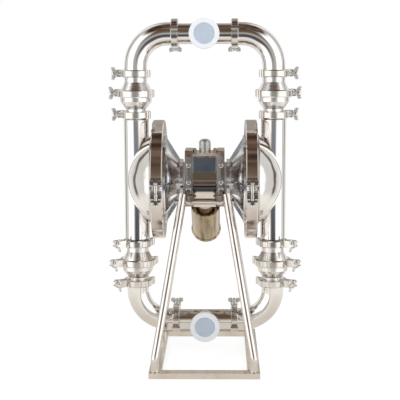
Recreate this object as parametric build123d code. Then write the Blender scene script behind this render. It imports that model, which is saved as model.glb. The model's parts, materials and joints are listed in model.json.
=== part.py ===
"""Air operated double diaphragm pump in polished stainless steel, as an assembly of separate pieces.

Millimetres. +Z is up, -Y is the front (the side of the two ports) and +X is the pump's right hand side.
The origin is on the floor, in the middle of the base frame. The pump's shaft lies along X at AXIS_HEIGHT.
Every piece is modelled where it sits at mid-stroke, with the valve balls down on their seats.
"""

from build123d import *
import os
from math import cos, radians, sin, sqrt, tan

# ---------------------------------------------------------------- driving dimensions: piping
AXIS_HEIGHT = 465.0  # shaft axis above the floor
COLUMN_X = 174.5  # centre line of each column from the middle
COLUMN_HALF = 165.0  # shaft axis to the upper and lower column joints
COLUMN_OD = 63.5
ELBOW_OD = 57.0
TEE_OD = 50.8
TUBE_WALL = 1.5
ELBOW_REACH = 99.0  # elbow centre line crossing to joint
BEND_RADIUS = 80.0
PORT_REACH = 81.5  # tee axis to the face of its front port
GASKET = 2.0  # thickness between two ferrules
LIP_EDGE = 1.8  # thickness of a ferrule lip at its rim
LIP_ANGLE = 20.0  # taper of the back of a ferrule lip
SMALL_LIP_OD = 64.0
LARGE_LIP_OD = 84.0
CAP_RADIUS = 37.5
CAP_WALL = 2.6
CAP_SKIRT = 9.0  # how far the cap's skirt reaches back over the ferrule
CAP_RIM = 6.0  # how far the cap's rim stands out from the port's face
CAP_DISC = 25.5  # radius of the sunk disc in the cap's face
CAP_EDGE = 1.5

# ---------------------------------------------------------------- check valves
VALVE_LENGTH = 104.0  # joint to joint
BOWL_HEIGHT = 54.0  # lower joint to the large joint in the middle
BOWL_OD = 79.0
BOWL_NECK = 15.0  # straight neck from the lower joint
BOWL_CONE = 19.0  # height of the bowl's cone
TOP_OD = 77.0
TOP_STUB = 8.5  # straight part above the large joint
TOP_CONE = 20.0  # height of the top's cone
BALL_RADIUS = 27.0
BALL_LIFT = 14.0
SEAT_BORE = 19.0
SEAT_EDGE = 21.5  # radius of the edge that the ball comes down on
SEAT_DEPTH = 8.0  # length of the seat inside the neck
SEAT_FLANGE = 26.4  # outer radius of the seat's flange in the cone
STOP_BAR = 5.0  # width of the bars that stop the ball
STOP_HEIGHT = 7.0
SEAT_TAPER = 1.4  # fall of the seat's inner cone for each millimetre of radius

# ---------------------------------------------------------------- tube clamps
CLAMP_WIDTH = 18.0
SMALL_CLAMP_OD = 75.0
LARGE_CLAMP_OD = 94.0
CLAMP_LAND = 0.5  # gap between the tube and the clamp's inner rim
CLAMP_EDGE = 2.0
EAR_THICK = 10.0
EAR_REACH = 66.0  # tube axis to the ear's tip on a small clamp
EAR_ROOT = 3.0  # how deep the ear is rooted in the ring
EAR_CHAMFER = 4.0
EAR_SLOT = 8.8
EAR_SLOT_ROOM = 2.0  # behind the swing bolt
BOLT_OFFSET = 58.0  # tube axis to the swing bolt on a small clamp
BOLT_RADIUS = 4.0
BOLT_TAIL = 5.0  # thread that shows past the nut
HINGE_OFFSET = 41.5  # tube axis to the hinge pin on a small clamp
HINGE_RADIUS = 5.5
PIN_RADIUS = 2.5
PIN_TAIL = 1.0  # how far the hinge pin stands out at each end
SPLIT = 1.0  # half the gap between two clamp halves
NUT_RADIUS = 7.0
NUT_LENGTH = 9.0
NUT_TAPER = 1.5
WING_SPAN = 32.0
WING_THICK = 3.6
WING_HEIGHT = 18.0
WING_OUTLINE = (  # shares of half the span and of the height
    (0.0, 0.08),
    (0.7, 0.2),
    (1.0, 0.45),
    (1.0, 0.82),
    (0.76, 1.0),
    (0.4, 0.45),
    (0.0, 0.45),
)
CLAMP_TURNS = {"suction": -25.0, "discharge": 38.0}  # degrees that the ears turn to the back
TEE_CLAMP_TURN = 71.0  # degrees from straight down or up to the back

# ---------------------------------------------------------------- chambers
DIAPHRAGM_X = 117.0  # mid-plane of each diaphragm
DIAPHRAGM_THICK = 6.0
COLLAR_RADIUS = 112.0
COLLAR_LENGTH = 16.0  # flange face to the dome's weld
FLANGE_REACH = 28.0  # collar to the flange's rim
FLANGE_EDGE = 4.0
FLANGE_ANGLE = 12.0
DOME_RISE = 61.0
DOME_MIDDLE = 0.5  # angle from the apex of the point that fixes the dome's arc, in radians
WELD_RADIUS = 2.0
CHAMBER_WALL = 2.5
BAND_THICK = 11.5  # flange's rim to the outside of the band clamp
BAND_WIDTH = 30.0
BAND_GRIP = 6.5  # collar to the inner edge of the band's flanks
BAND_EDGE = 2.5
BAND_GAP = 5.0  # half the gap at the closure
BAND_SPLIT = 1.0  # gap at the hinge
BAND_SEAMS = (58.0, 122.0, -44.0, -136.0)  # degrees from the front, upwards, to the seams of the band
SEAM_WIDTH = 1.0
SEAM_DEPTH = 0.8
CLOSURE_DROP = 2.0  # angle of the band's closure below the horizontal
LUG_WIDTH = 26.0
LUG_SLOT = 10.0
LUG_DEPTH = 15.0
LUG_START = 7.0
LUG_HEIGHT = 20.0
LUG_ROUND = 5.0
LUG_ROOT = 4.0
CLOSURE_PIN = 4.0
CLOSURE_EYE = 6.5
CLOSURE_SHANK = 4.2
CLOSURE_TAIL = 14.0  # bolt past the lower lug
WASHER_THICK = 3.5
WASHER_HALF = 6.0
NUT_ACROSS = 7.2  # corner radius of the closure's nut
NUT_THICK = 7.0
BAND_HINGE_RADIUS = 7.0
BAND_HINGE_HALF = 5.0  # half the length of the middle knuckle
BAND_HINGE_OUT = 3.0  # hinge axis outside the band
PIN_STAND = 2.0  # how far the band's pins stand out
BELL_WALL = 5.0
BELL_ROOM = 8.0  # inner plate at the end of its stroke to the bottom of the air chamber
BELL_FLOOR_RADIUS = 62.0
BELL_WAIST = (66.0, 83.0)  # radius and place of the narrow part of the bell's curve
BELL_SHOULDER = 7.0  # below the flange's root, where the bell meets the collar
HUB_RADIUS = 44.0
HUB_FLANGE_RADIUS = 52.0
HUB_FLANGE_THICK = 8.0
RIB_COUNT = 8
RIB_THICK = 5.0
RIB_INSET = 2.0  # rib's outer end inside the collar

# ---------------------------------------------------------------- shaft and diaphragms
STROKE_HALF = 12.0  # travel of the shaft each way
SHAFT_RADIUS = 12.0
STUD_RADIUS = 10.0
STUD_ROOM = 0.5  # stud's end to the bottom of its hole
BUSH_RADIUS = 17.0
INNER_PLATE_MARGIN = 46.0  # collar to the edge of the inner plate
INNER_PLATE_THICK = 8.0
INNER_PLATE_EDGE = 3.0
OUTER_PLATE_MARGIN = 52.0  # collar to the edge of the outer plate
OUTER_PLATE_THICK = 6.0
OUTER_PLATE_DOME = 9.0
WEB_MARGIN = 4.0  # collar to where the diaphragm leaves its clamped rim, and inner plate to the roll
ROLL_RISE = 9.0
ROLL_THICK = 4.0

# ---------------------------------------------------------------- centre block, from the shaft axis
BLOCK_HALF_WIDTH = 30.0
BLOCK_HALF_DEPTH = 50.0
BLOCK_DROP = 53.0
BLOCK_RISE = 71.0
BLOCK_CHAMFER = 10.0
CASTING_HALF_WIDTH = 28.0
CASTING_FRONT = (  # depth in front of the axis and height of the front casting's steps, below the air valve
    (50.0, 24.0),
    (63.0, 24.0),
    (63.0, 15.5),
    (61.0, 15.5),
    (61.0, 13.5),
    (63.0, 13.5),
    (63.0, 4.0),
    (67.0, 4.0),
)
CASTING_ROLL = 72.0  # depth of the round rib in front of the axis
CASTING_FOOT = ((67.0, -22.0), (65.0, -27.0), (58.0, -63.0), (50.0, -63.0))
PLATE_OUTER_X = 50.0
PLATE_HALF_DEPTH = 55.0
PLATE_DROP = 65.0
PLATE_RISE = 77.0
PLATE_CORNER = 14.0
EAR_DROP = 54.0
EAR_OUTER_X = 42.0
EAR_TIP_Y = 92.0
EAR_RISE = -25.0  # top of the leg's ear
EAR_ROUND = 8.0
SPACER_RADIUS = 8.0
SHAFT_BORE = 13.0
VALVE_BODY_DEPTH = 24.0
VALVE_BODY_DROP = -25.0
VALVE_BODY_RISE = 65.0
VALVE_BODY_CHAMFER = 4.0
SPOOL_RADIUS = 8.0
SPOOL_WAIST = 5.5
SPOOL_HALF = 14.0
SPOOL_TRAVEL = 7.0
SPOOL_RISE = 45.0
SPOOL_ROOM = 2.0  # spool at the end of its travel to the end plug
COVER_WIDTH = 54.0
COVER_HEIGHT = 36.0
COVER_THICK = 4.0
COVER_ROUND = 2.0
INLET_RADIUS = 15.0
INLET_BORE = 6.5
INLET_HEIGHT = 32.0
INLET_CROWN = 11.0  # height of the inlet's rounded mouth
INLET_GROOVE = 1.5
INLET_DEPTH = 20.0  # length of the inlet's bore in the block
VENT_X = 25.5
VENT_RADIUS = 4.5
VENT_NECK = 5.0
VENT_THREAD = 1.5
VENT_DEPTH = 6.0

# ---------------------------------------------------------------- muffler, legs and base
MUFFLER_SLOPE = 34.0  # degrees below the horizontal, towards the back
MUFFLER_Y = 62.7
MUFFLER_DROP = 74.5  # end of the muffler next to the block, below the shaft axis
MUFFLER_RADIUS = 38.0
MUFFLER_LENGTH = 156.0
MUFFLER_LIP = 40.5
MUFFLER_ROLL = 6.0  # length of the rolled lip
MUFFLER_NECK = 20.5
MUFFLER_NECK_LENGTH = 20.0
MUFFLER_NECK_WALL = 8.0
MUFFLER_WALL = 2.0
BOSS_WALL = 5.0  # exhaust boss round the muffler's neck
BOSS_LENGTH = 33.0
BOSS_HANG = 30.0  # how far the boss may hang below the block
PACKING_DEPTH = 7.0  # from the muffler's mouth
PACKING_LENGTH = 11.0
LEG_RADIUS = 10.0
LEG_WALL = 1.5
LEG_TOP_X = 54.0
LEG_TOP_Y = 76.0
LEG_TOP_DROP = 29.0
LEG_KNEE_Z = 46.0
LEG_BEND = 28.0
BASE_WIDTH = 272.0
BASE_DEPTH = 410.0
RAIL_WIDTH = 30.0
RAIL_HEIGHT = 14.0
LEG_BOLT_DROP = 16.0
LEG_BOLT_HEAD = 7.5
LEG_BOLT_HEIGHT = 5.0
LEG_BOLT_STAND = 2.0  # bolt head off the leg's tube
LEG_BOLT_TAIL = 8.0

# ---------------------------------------------------------------- clearances
FIT = 0.05  # radial clearance of bores on shafts, pins and bolts, and of clamps on lips
GAP = 0.3  # between pieces that move past each other
OVER = 1.0  # how far a cutting shape runs past what it cuts

# ---------------------------------------------------------------- derived places
LOWER_JOINT = AXIS_HEIGHT - COLUMN_HALF
UPPER_JOINT = AXIS_HEIGHT + COLUMN_HALF
SUCTION_JOINT = LOWER_JOINT - VALVE_LENGTH
DISCHARGE_JOINT = UPPER_JOINT + VALVE_LENGTH
SUCTION_Z = SUCTION_JOINT - ELBOW_REACH
DISCHARGE_Z = DISCHARGE_JOINT + ELBOW_REACH
TEE_JOINT_X = COLUMN_X - ELBOW_REACH
FACE = GASKET / 2  # ferrule face to its joint plane
SMALL_LIP = SMALL_LIP_OD / 2
LARGE_LIP = LARGE_LIP_OD / 2
VALVE_BASES = (SUCTION_JOINT, UPPER_JOINT)  # lower joint of the suction and discharge valves
NECK_RADIUS = TEE_OD / 2
FLANGE_RADIUS = COLLAR_RADIUS + FLANGE_REACH
BAND_RADIUS = FLANGE_RADIUS + BAND_THICK
BAND_LAND = COLLAR_RADIUS + BAND_GRIP
INNER_PLATE_RADIUS = COLLAR_RADIUS - INNER_PLATE_MARGIN
OUTER_PLATE_RADIUS = COLLAR_RADIUS - OUTER_PLATE_MARGIN
WEB_RADIUS = COLLAR_RADIUS - WEB_MARGIN
BLOCK_BOTTOM = AXIS_HEIGHT - BLOCK_DROP
BLOCK_TOP = AXIS_HEIGHT + BLOCK_RISE
SPOOL_Z = AXIS_HEIGHT + SPOOL_RISE
BELL_FLOOR = DIAPHRAGM_X - DIAPHRAGM_THICK / 2 - INNER_PLATE_THICK - STROKE_HALF - BELL_ROOM
PLUG_START = SPOOL_HALF + SPOOL_TRAVEL + SPOOL_ROOM
VALVE_FRONT = -BLOCK_HALF_DEPTH - VALVE_BODY_DEPTH
LEG_TOP = (LEG_TOP_X, -LEG_TOP_Y, AXIS_HEIGHT - LEG_TOP_DROP)
SIDES = {"right": 1, "left": -1}

NODES = {}


def turned(outline):
    """Solid of revolution about Z of a closed outline of (radius, height) points."""
    return revolve(make_face(Plane.XZ * Polyline(*outline, close=True)), Axis.Z)


def rod(radius, start, end):
    """Round bar between two heights on Z."""
    return Pos(0, 0, (start + end) / 2) * Cylinder(radius, end - start)


def block(x0, x1, y0, y1, z0, z1):
    """Box between two corners."""
    return Pos((x0 + x1) / 2, (y0 + y1) / 2, (z0 + z1) / 2) * Box(x1 - x0, y1 - y0, z1 - z0)


def along_x(shape, x=0.0, y=0.0, z=0.0):
    """Shape made about Z, laid along +X with its own origin at (x, y, z)."""
    return Plane((x, y, z), x_dir=(0, 1, 0), z_dir=(1, 0, 0)) * shape


def towards_front(shape, x=0.0, y=0.0, z=0.0):
    """Shape made about Z, laid along -Y with its own origin at (x, y, z)."""
    return Plane((x, y, z), x_dir=(1, 0, 0), z_dir=(0, -1, 0)) * shape


def both_sides(shape):
    """The shape and its mirror image on the left."""
    return [shape, mirror(shape, about=Plane.YZ)]


def lip_back(tube_radius, lip_radius):
    """Distance from a ferrule's face to the point where its tapered back meets the tube."""
    return LIP_EDGE + (lip_radius - tube_radius) * tan(radians(LIP_ANGLE))


def crown(rim_radius, rim, rise):
    """Arc of a dished end from its rim to its apex on the axis, as (radius, height)."""
    radius = (rise**2 + rim_radius**2) / (2 * rise)
    half = rim_radius / 2
    middle = rim + rise - radius + sqrt(radius**2 - half**2)
    return ThreePointArc((rim_radius, rim), (half, middle), (0, rim + rise))


def ferrule(tube_radius, lip_radius):
    """Solid ferrule end on Z, its face at FACE above the joint plane and the tube going up."""
    return turned(
        [
            (0, FACE),
            (lip_radius, FACE),
            (lip_radius, FACE + LIP_EDGE),
            (tube_radius, FACE + lip_back(tube_radius, lip_radius)),
            (0, FACE + lip_back(tube_radius, lip_radius)),
        ]
    )


# ---------------------------------------------------------------- check valves
def valve_bowl():
    """Lower half of a check valve housing, standing on its lower joint plane."""
    top = BOWL_HEIGHT - FACE
    cone_top = BOWL_NECK + BOWL_CONE
    bowl = BOWL_OD / 2
    return turned(
        [
            (NECK_RADIUS - TUBE_WALL, FACE),
            (SMALL_LIP, FACE),
            (SMALL_LIP, FACE + LIP_EDGE),
            (NECK_RADIUS, FACE + lip_back(NECK_RADIUS, SMALL_LIP)),
            (NECK_RADIUS, BOWL_NECK),
            (bowl, cone_top),
            (bowl, top - lip_back(bowl, LARGE_LIP)),
            (LARGE_LIP, top - LIP_EDGE),
            (LARGE_LIP, top),
            (bowl - TUBE_WALL, top),
            (bowl - TUBE_WALL, cone_top),
            (NECK_RADIUS - TUBE_WALL, BOWL_NECK),
        ]
    )


def valve_top():
    """Upper half of a check valve housing with the crossed bars that stop the ball."""
    base = BOWL_HEIGHT + FACE
    head = VALVE_LENGTH - FACE
    stub = TOP_OD / 2
    neck = ELBOW_OD / 2
    cone_base = BOWL_HEIGHT + TOP_STUB
    cone_top = cone_base + TOP_CONE
    shell = turned(
        [
            (stub - TUBE_WALL, base),
            (LARGE_LIP, base),
            (LARGE_LIP, base + LIP_EDGE),
            (stub, base + lip_back(stub, LARGE_LIP)),
            (stub, cone_base),
            (neck, cone_top),
            (neck, head - lip_back(neck, SMALL_LIP)),
            (SMALL_LIP, head - LIP_EDGE),
            (SMALL_LIP, head),
            (neck - TUBE_WALL, head),
            (neck - TUBE_WALL, cone_top),
            (stub - TUBE_WALL, cone_base),
        ]
    )
    within = turned(
        [
            (0, cone_base),
            (stub - TUBE_WALL / 2, cone_base),
            (neck - TUBE_WALL / 2, cone_top),
            (neck - TUBE_WALL / 2, head),
            (0, head),
        ]
    )
    stop = ball_rest() + BALL_LIFT + BALL_RADIUS + GAP
    half = STOP_BAR / 2
    bars = block(-stub, stub, -half, half, stop, stop + STOP_HEIGHT)
    bars += block(-half, half, -stub, stub, stop, stop + STOP_HEIGHT)
    return shell + (bars & within)


def seat_top():
    """Height of the seat's upper edge above the valve's lower joint plane."""
    slope = BOWL_CONE / (BOWL_OD / 2 - NECK_RADIUS)
    return BOWL_NECK + (SEAT_FLANGE + FIT - NECK_RADIUS + TUBE_WALL) * slope


def valve_seat():
    """Seat ring pushed into the bowl's neck, its flange resting in the cone."""
    outer = NECK_RADIUS - TUBE_WALL - FIT
    return turned(
        [
            (SEAT_BORE, BOWL_NECK - SEAT_DEPTH),
            (outer, BOWL_NECK - SEAT_DEPTH),
            (outer, BOWL_NECK),
            (SEAT_FLANGE, seat_top()),
            (SEAT_EDGE, seat_top()),
            (SEAT_BORE, seat_top() - (SEAT_EDGE - SEAT_BORE) * SEAT_TAPER),
        ]
    )


def ball_rest():
    """Height of the ball's centre on its seat above the valve's lower joint plane."""
    return seat_top() + sqrt((BALL_RADIUS + GAP) ** 2 - SEAT_EDGE**2)


def add_valves():
    """Four check valves: suction below and discharge above, on both columns, all flowing upwards."""
    bowls, tops, seats = [], [], []
    for base in VALVE_BASES:
        place = Pos(COLUMN_X, 0, base)
        bowls += both_sides(place * valve_bowl())
        tops += both_sides(place * valve_top())
        seats += both_sides(place * valve_seat())
    NODES["valve_bowls"] = bowls
    NODES["valve_tops"] = tops
    NODES["valve_seats"] = seats
    for name, base in zip(("suction", "discharge"), VALVE_BASES):
        for side, sign in SIDES.items():
            ball = Pos(sign * COLUMN_X, 0, base + ball_rest()) * Sphere(BALL_RADIUS)
            NODES[f"{name}_ball_{side}"] = [ball]


# ---------------------------------------------------------------- elbows, tees and caps
def elbow():
    """Right discharge elbow, from its upright joint to its level joint at the tee."""
    start = (COLUMN_X, 0, DISCHARGE_JOINT + FACE)
    corner = (COLUMN_X, 0, DISCHARGE_Z)
    end = (TEE_JOINT_X + FACE, 0, DISCHARGE_Z)
    path = FilletPolyline(start, corner, end, radius=BEND_RADIUS)
    radius = ELBOW_OD / 2
    mouth = Plane(start, z_dir=(0, 0, 1))
    body = sweep(mouth * Circle(radius), path=path)
    body += Pos(COLUMN_X, 0, DISCHARGE_JOINT) * ferrule(radius, SMALL_LIP)
    body += along_x(ferrule(radius, SMALL_LIP), x=TEE_JOINT_X, z=DISCHARGE_Z)
    return body - sweep(mouth * Circle(radius - TUBE_WALL), path=path)


def tee(height):
    """Horizontal tee with a ferrule at each end and one on its front port."""
    radius = TEE_OD / 2
    half = TEE_JOINT_X - FACE
    body = along_x(rod(radius, -half, half), z=height)
    body += towards_front(rod(radius, 0, PORT_REACH), z=height)
    end = mirror(ferrule(radius, SMALL_LIP), about=Plane.XY)
    body += along_x(end, x=TEE_JOINT_X, z=height)
    body += mirror(along_x(end, x=TEE_JOINT_X, z=height), about=Plane.YZ)
    body += towards_front(end, y=-PORT_REACH - FACE, z=height)
    bore = radius - TUBE_WALL
    body -= along_x(rod(bore, -half, half), z=height)
    return body - towards_front(rod(bore, 0, PORT_REACH), z=height)


def port_cap():
    """Push-on plastic cap about Z, with the port's face at height 0 and the skirt below it."""
    skirt = SMALL_LIP + GAP
    floor = GAP + CAP_WALL
    return turned(
        [
            (0, GAP),
            (skirt, GAP),
            (skirt, -CAP_SKIRT),
            (CAP_RADIUS - CAP_EDGE, -CAP_SKIRT),
            (CAP_RADIUS, -CAP_SKIRT + CAP_EDGE),
            (CAP_RADIUS, CAP_RIM - CAP_EDGE),
            (CAP_RADIUS - CAP_EDGE, CAP_RIM),
            (CAP_DISC + CAP_EDGE, CAP_RIM),
            (CAP_DISC, CAP_RIM - CAP_EDGE),
            (CAP_DISC, floor),
            (0, floor),
        ]
    )


def add_manifolds():
    """Elbows, the two tees and the two port caps."""
    middle = Plane((0, 0, AXIS_HEIGHT), z_dir=(0, 0, 1))
    upper = both_sides(elbow())
    NODES["elbows"] = upper + [mirror(piece, about=middle) for piece in upper]
    for name, height in (("suction", SUCTION_Z), ("discharge", DISCHARGE_Z)):
        NODES[f"{name}_tee"] = [tee(height)]
        NODES[f"{name}_cap"] = [towards_front(port_cap(), y=-PORT_REACH, z=height)]


# ---------------------------------------------------------------- tube clamps
class TubeClamp:
    """Hinged two-piece clamp about Z; the ears point to +X, the front half and its wing nut to -Y."""

    def __init__(self, lip_radius, tube_radius, outer_diameter):
        self.lip = lip_radius
        self.land = tube_radius + CLAMP_LAND
        self.outer = outer_diameter / 2
        extra = self.outer - SMALL_CLAMP_OD / 2
        self.bolt_x = BOLT_OFFSET + extra
        self.reach = EAR_REACH + extra
        self.hinge_x = -HINGE_OFFSET - extra

    def ring(self):
        """Full clamp ring with its tapered groove."""
        half = CLAMP_WIDTH / 2
        land = self.land
        rim = FACE + LIP_EDGE + FIT
        slope = tan(radians(LIP_ANGLE))
        crest = self.lip + FIT
        edge = CLAMP_EDGE
        return turned(
            [
                (crest, -rim),
                (land, -rim - (crest - land) * slope),
                (land, -half + edge),
                (land + edge, -half),
                (self.outer - edge, -half),
                (self.outer, -half + edge),
                (self.outer, half - edge),
                (self.outer - edge, half),
                (land + edge, half),
                (land, half - edge),
                (land, rim + (crest - land) * slope),
                (crest, rim),
            ]
        )

    def ear(self, front):
        """Ear on the front (-Y) or rear side, slotted for the swing bolt."""
        sign = -1 if front else 1
        y0, y1 = sorted((sign * SPLIT, sign * (SPLIT + EAR_THICK)))
        half = CLAMP_WIDTH / 2
        root = self.outer - EAR_ROOT
        ear = block(root, self.reach, y0, y1, -half, half)
        ear = chamfer(ear.edges().filter_by(Axis.Y).group_by(Axis.X)[-1], EAR_CHAMFER)
        inner = self.bolt_x - BOLT_RADIUS - EAR_SLOT_ROOM
        slot = block(inner, self.reach + OVER, y0 - OVER, y1 + OVER, -EAR_SLOT / 2, EAR_SLOT / 2)
        return ear - slot

    def knuckle(self, z0, z1):
        """Hinge knuckle between two heights, joined to the ring."""
        return Pos(self.hinge_x, 0, 0) * rod(HINGE_RADIUS, z0, z1)

    def halves(self):
        """Front and rear half."""
        ring = self.ring()
        big = 2 * self.reach
        half = CLAMP_WIDTH / 2
        third = half / 3
        clear = HINGE_RADIUS + GAP
        front = ring & block(-big, big, -big, -SPLIT, -big, big)
        rear = ring & block(-big, big, SPLIT, big, -big, big)
        hole = Pos(self.hinge_x, 0, 0) * rod(PIN_RADIUS + FIT, -big, big)
        middle = Pos(self.hinge_x, 0, 0) * rod(clear, -third - GAP, third + GAP)
        lower = Pos(self.hinge_x, 0, 0) * rod(clear, -big, -third)
        upper = Pos(self.hinge_x, 0, 0) * rod(clear, third, big)
        front = front - lower - upper + self.knuckle(-third, third) + self.ear(True) - hole
        rear = rear - middle + self.knuckle(-half, -third - GAP) + self.knuckle(third + GAP, half)
        rear = rear + self.ear(False) - hole
        pin_hole = Pos(self.bolt_x, SPLIT + EAR_THICK / 2, 0) * rod(PIN_RADIUS + FIT, -big, big)
        return front, rear - pin_hole

    def pins(self):
        """Hinge pin and the pin that carries the swing bolt."""
        half = CLAMP_WIDTH / 2
        hinge = Pos(self.hinge_x, 0, 0) * rod(PIN_RADIUS, -half - PIN_TAIL, half + PIN_TAIL)
        carrier = Pos(self.bolt_x, SPLIT + EAR_THICK / 2, 0) * rod(PIN_RADIUS, -half, half)
        return [hinge, carrier]

    def swing_bolt(self):
        """Eye bolt on its pin, reaching out to the front through the front ear."""
        eye_y = SPLIT + EAR_THICK / 2
        tip = SPLIT + EAR_THICK + GAP + NUT_LENGTH + BOLT_TAIL
        thick = EAR_SLOT / 2 - GAP
        eye = Pos(self.bolt_x, eye_y, 0) * rod(EAR_THICK / 2, -thick, thick)
        shank = towards_front(rod(BOLT_RADIUS, -eye_y + PIN_RADIUS, tip), x=self.bolt_x)
        bolt = eye + shank
        return bolt - Pos(self.bolt_x, eye_y, 0) * rod(PIN_RADIUS + FIT, -thick - OVER, thick + OVER)

    def wing_nut(self):
        """Wing nut on the swing bolt, seated on the front ear, its wings upright along Z."""
        seat = -SPLIT - EAR_THICK - GAP
        hub = turned([(0, 0), (NUT_RADIUS, 0), (NUT_RADIUS - NUT_TAPER, NUT_LENGTH), (0, NUT_LENGTH)])
        wing = Polyline(*[(u * WING_SPAN / 2, v * WING_HEIGHT) for u, v in WING_OUTLINE], close=True)
        blade = extrude(make_face(Plane.XZ * wing), WING_THICK / 2, both=True)
        nut = hub + blade + mirror(blade, about=Plane.YZ)
        nut -= rod(BOLT_RADIUS + FIT, -OVER, WING_HEIGHT + OVER)
        upright = Rot(0, 0, 90) * nut
        return towards_front(upright, x=self.bolt_x, y=seat)


SMALL_CLAMP = TubeClamp(SMALL_LIP, ELBOW_OD / 2, SMALL_CLAMP_OD)
LARGE_CLAMP = TubeClamp(LARGE_LIP, BOWL_OD / 2, LARGE_CLAMP_OD)


def clamp_places():
    """Name, clamp and plane of each tube clamp: three on each valve and one at each end of each tee."""
    places = []
    for side, sign in SIDES.items():
        for name, base in zip(("suction", "discharge"), VALVE_BASES):
            turn = radians(CLAMP_TURNS[name])
            outward = (sign * cos(turn), sin(turn), 0)
            for level, offset, clamp in (
                ("lower", 0.0, SMALL_CLAMP),
                ("middle", BOWL_HEIGHT, LARGE_CLAMP),
                ("upper", VALVE_LENGTH, SMALL_CLAMP),
            ):
                plane = Plane((sign * COLUMN_X, 0, base + offset), x_dir=outward, z_dir=(0, 0, sign))
                places.append((f"{name}_{level}_{side}", clamp, plane))
        turn = radians(TEE_CLAMP_TURN)
        back, rise = sin(turn), cos(turn)
        top = Plane((sign * TEE_JOINT_X, 0, DISCHARGE_Z), x_dir=(0, back, -rise), z_dir=(1, 0, 0))
        bottom = Plane((sign * TEE_JOINT_X, 0, SUCTION_Z), x_dir=(0, back, rise), z_dir=(-1, 0, 0))
        places.append((f"discharge_tee_{side}", SMALL_CLAMP, top))
        places.append((f"suction_tee_{side}", SMALL_CLAMP, bottom))
    return places


def gasket_ring(bore, lip_radius):
    """Flat joint ring on a joint plane."""
    return rod(lip_radius, -FACE, FACE) - rod(bore, -GASKET, GASKET)


def add_tube_clamps():
    """Sixteen clamps with their pins, swing bolts, wing nuts and joint rings."""
    made = {}
    for clamp in (SMALL_CLAMP, LARGE_CLAMP):
        bore = ELBOW_OD / 2 - TUBE_WALL if clamp is SMALL_CLAMP else BOWL_OD / 2 - TUBE_WALL
        made[clamp] = {
            "halves": clamp.halves(),
            "bolt": clamp.swing_bolt(),
            "pins": clamp.pins(),
            "nut": clamp.wing_nut(),
            "ring": gasket_ring(bore, clamp.lip),
        }
    NODES["tube_clamps"] = []
    NODES["swing_bolts"] = []
    NODES["clamp_pins"] = []
    NODES["gaskets"] = []
    for name, clamp, plane in clamp_places():
        pieces = made[clamp]
        NODES["tube_clamps"] += [plane * half for half in pieces["halves"]]
        NODES["swing_bolts"].append(plane * pieces["bolt"])
        NODES["clamp_pins"] += [plane * pin for pin in pieces["pins"]]
        NODES["gaskets"].append(plane * pieces["ring"])
        NODES[f"wing_nut_{name}"] = [plane * pieces["nut"]]


# ---------------------------------------------------------------- chambers
def dome_centre_x():
    """Centre of the dome's sphere on the shaft axis and its radius."""
    weld = DIAPHRAGM_X + DIAPHRAGM_THICK / 2 + COLLAR_LENGTH
    radius = (DOME_RISE**2 + COLLAR_RADIUS**2) / (2 * DOME_RISE)
    return weld + DOME_RISE - radius, radius


def dome_solid(inset):
    """Collar and dome about Z from the diaphragm's mid-plane, drawn inset by a wall thickness."""
    centre, radius = dome_centre_x()
    ball = radius - inset
    mouth = COLLAR_RADIUS - inset
    weld = centre + sqrt(ball**2 - mouth**2)
    face = DIAPHRAGM_X + DIAPHRAGM_THICK / 2
    bulge = (ball * sin(DOME_MIDDLE), centre + ball * cos(DOME_MIDDLE))
    outline = Polyline((0, centre + ball), (0, face), (mouth, face), (mouth, weld))
    outline += ThreePointArc((mouth, weld), bulge, (0, centre + ball))
    return revolve(make_face(Plane.XZ * outline), Axis.Z)


def flange_profile(sign, inner_radius):
    """Flange ring about Z with a tapered back; sign +1 points away from the pump's middle."""
    face = DIAPHRAGM_X + sign * DIAPHRAGM_THICK / 2
    rim = face + sign * FLANGE_EDGE
    root = rim + sign * (FLANGE_RADIUS - COLLAR_RADIUS) * tan(radians(FLANGE_ANGLE))
    return turned(
        [
            (inner_radius, face),
            (FLANGE_RADIUS, face),
            (FLANGE_RADIUS, rim),
            (COLLAR_RADIUS, root),
            (inner_radius, root),
        ]
    )


def fluid_chamber():
    """Right wet chamber: flange, collar and dome welded to the upright column, hollow right through."""
    column_radius = COLUMN_OD / 2
    neck = ELBOW_OD / 2
    hidden = CLAMP_WIDTH / 2 + CLAMP_LAND
    shoulder = column_radius - neck
    length = COLUMN_HALF - hidden - shoulder
    body = along_x(flange_profile(1, COLLAR_RADIUS - CHAMBER_WALL / 2), z=AXIS_HEIGHT)
    body += along_x(dome_solid(0.0), z=AXIS_HEIGHT)
    weld = DIAPHRAGM_X + DIAPHRAGM_THICK / 2 + COLLAR_LENGTH
    body += along_x(Torus(COLLAR_RADIUS, WELD_RADIUS), x=weld, z=AXIS_HEIGHT)
    centre = Pos(COLUMN_X, 0, AXIS_HEIGHT)
    outline = [
        (0, -COLUMN_HALF + FACE),
        (neck, -COLUMN_HALF + FACE),
        (neck, -length - shoulder),
        (column_radius, -length),
        (column_radius, length),
        (neck, length + shoulder),
        (neck, COLUMN_HALF - FACE),
        (0, COLUMN_HALF - FACE),
    ]
    body += centre * turned(outline)
    body += Pos(COLUMN_X, 0, LOWER_JOINT) * ferrule(neck, SMALL_LIP)
    body += Pos(COLUMN_X, 0, UPPER_JOINT) * mirror(ferrule(neck, SMALL_LIP), about=Plane.XY)
    bore = neck - TUBE_WALL
    wide = column_radius - TUBE_WALL
    inside = [
        (0, -COLUMN_HALF),
        (bore, -COLUMN_HALF),
        (bore, -length),
        (wide, -length + shoulder),
        (wide, length - shoulder),
        (bore, length),
        (bore, COLUMN_HALF),
        (0, COLUMN_HALF),
    ]
    body -= along_x(dome_solid(CHAMBER_WALL), z=AXIS_HEIGHT)
    return body - centre * turned(inside)


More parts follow.
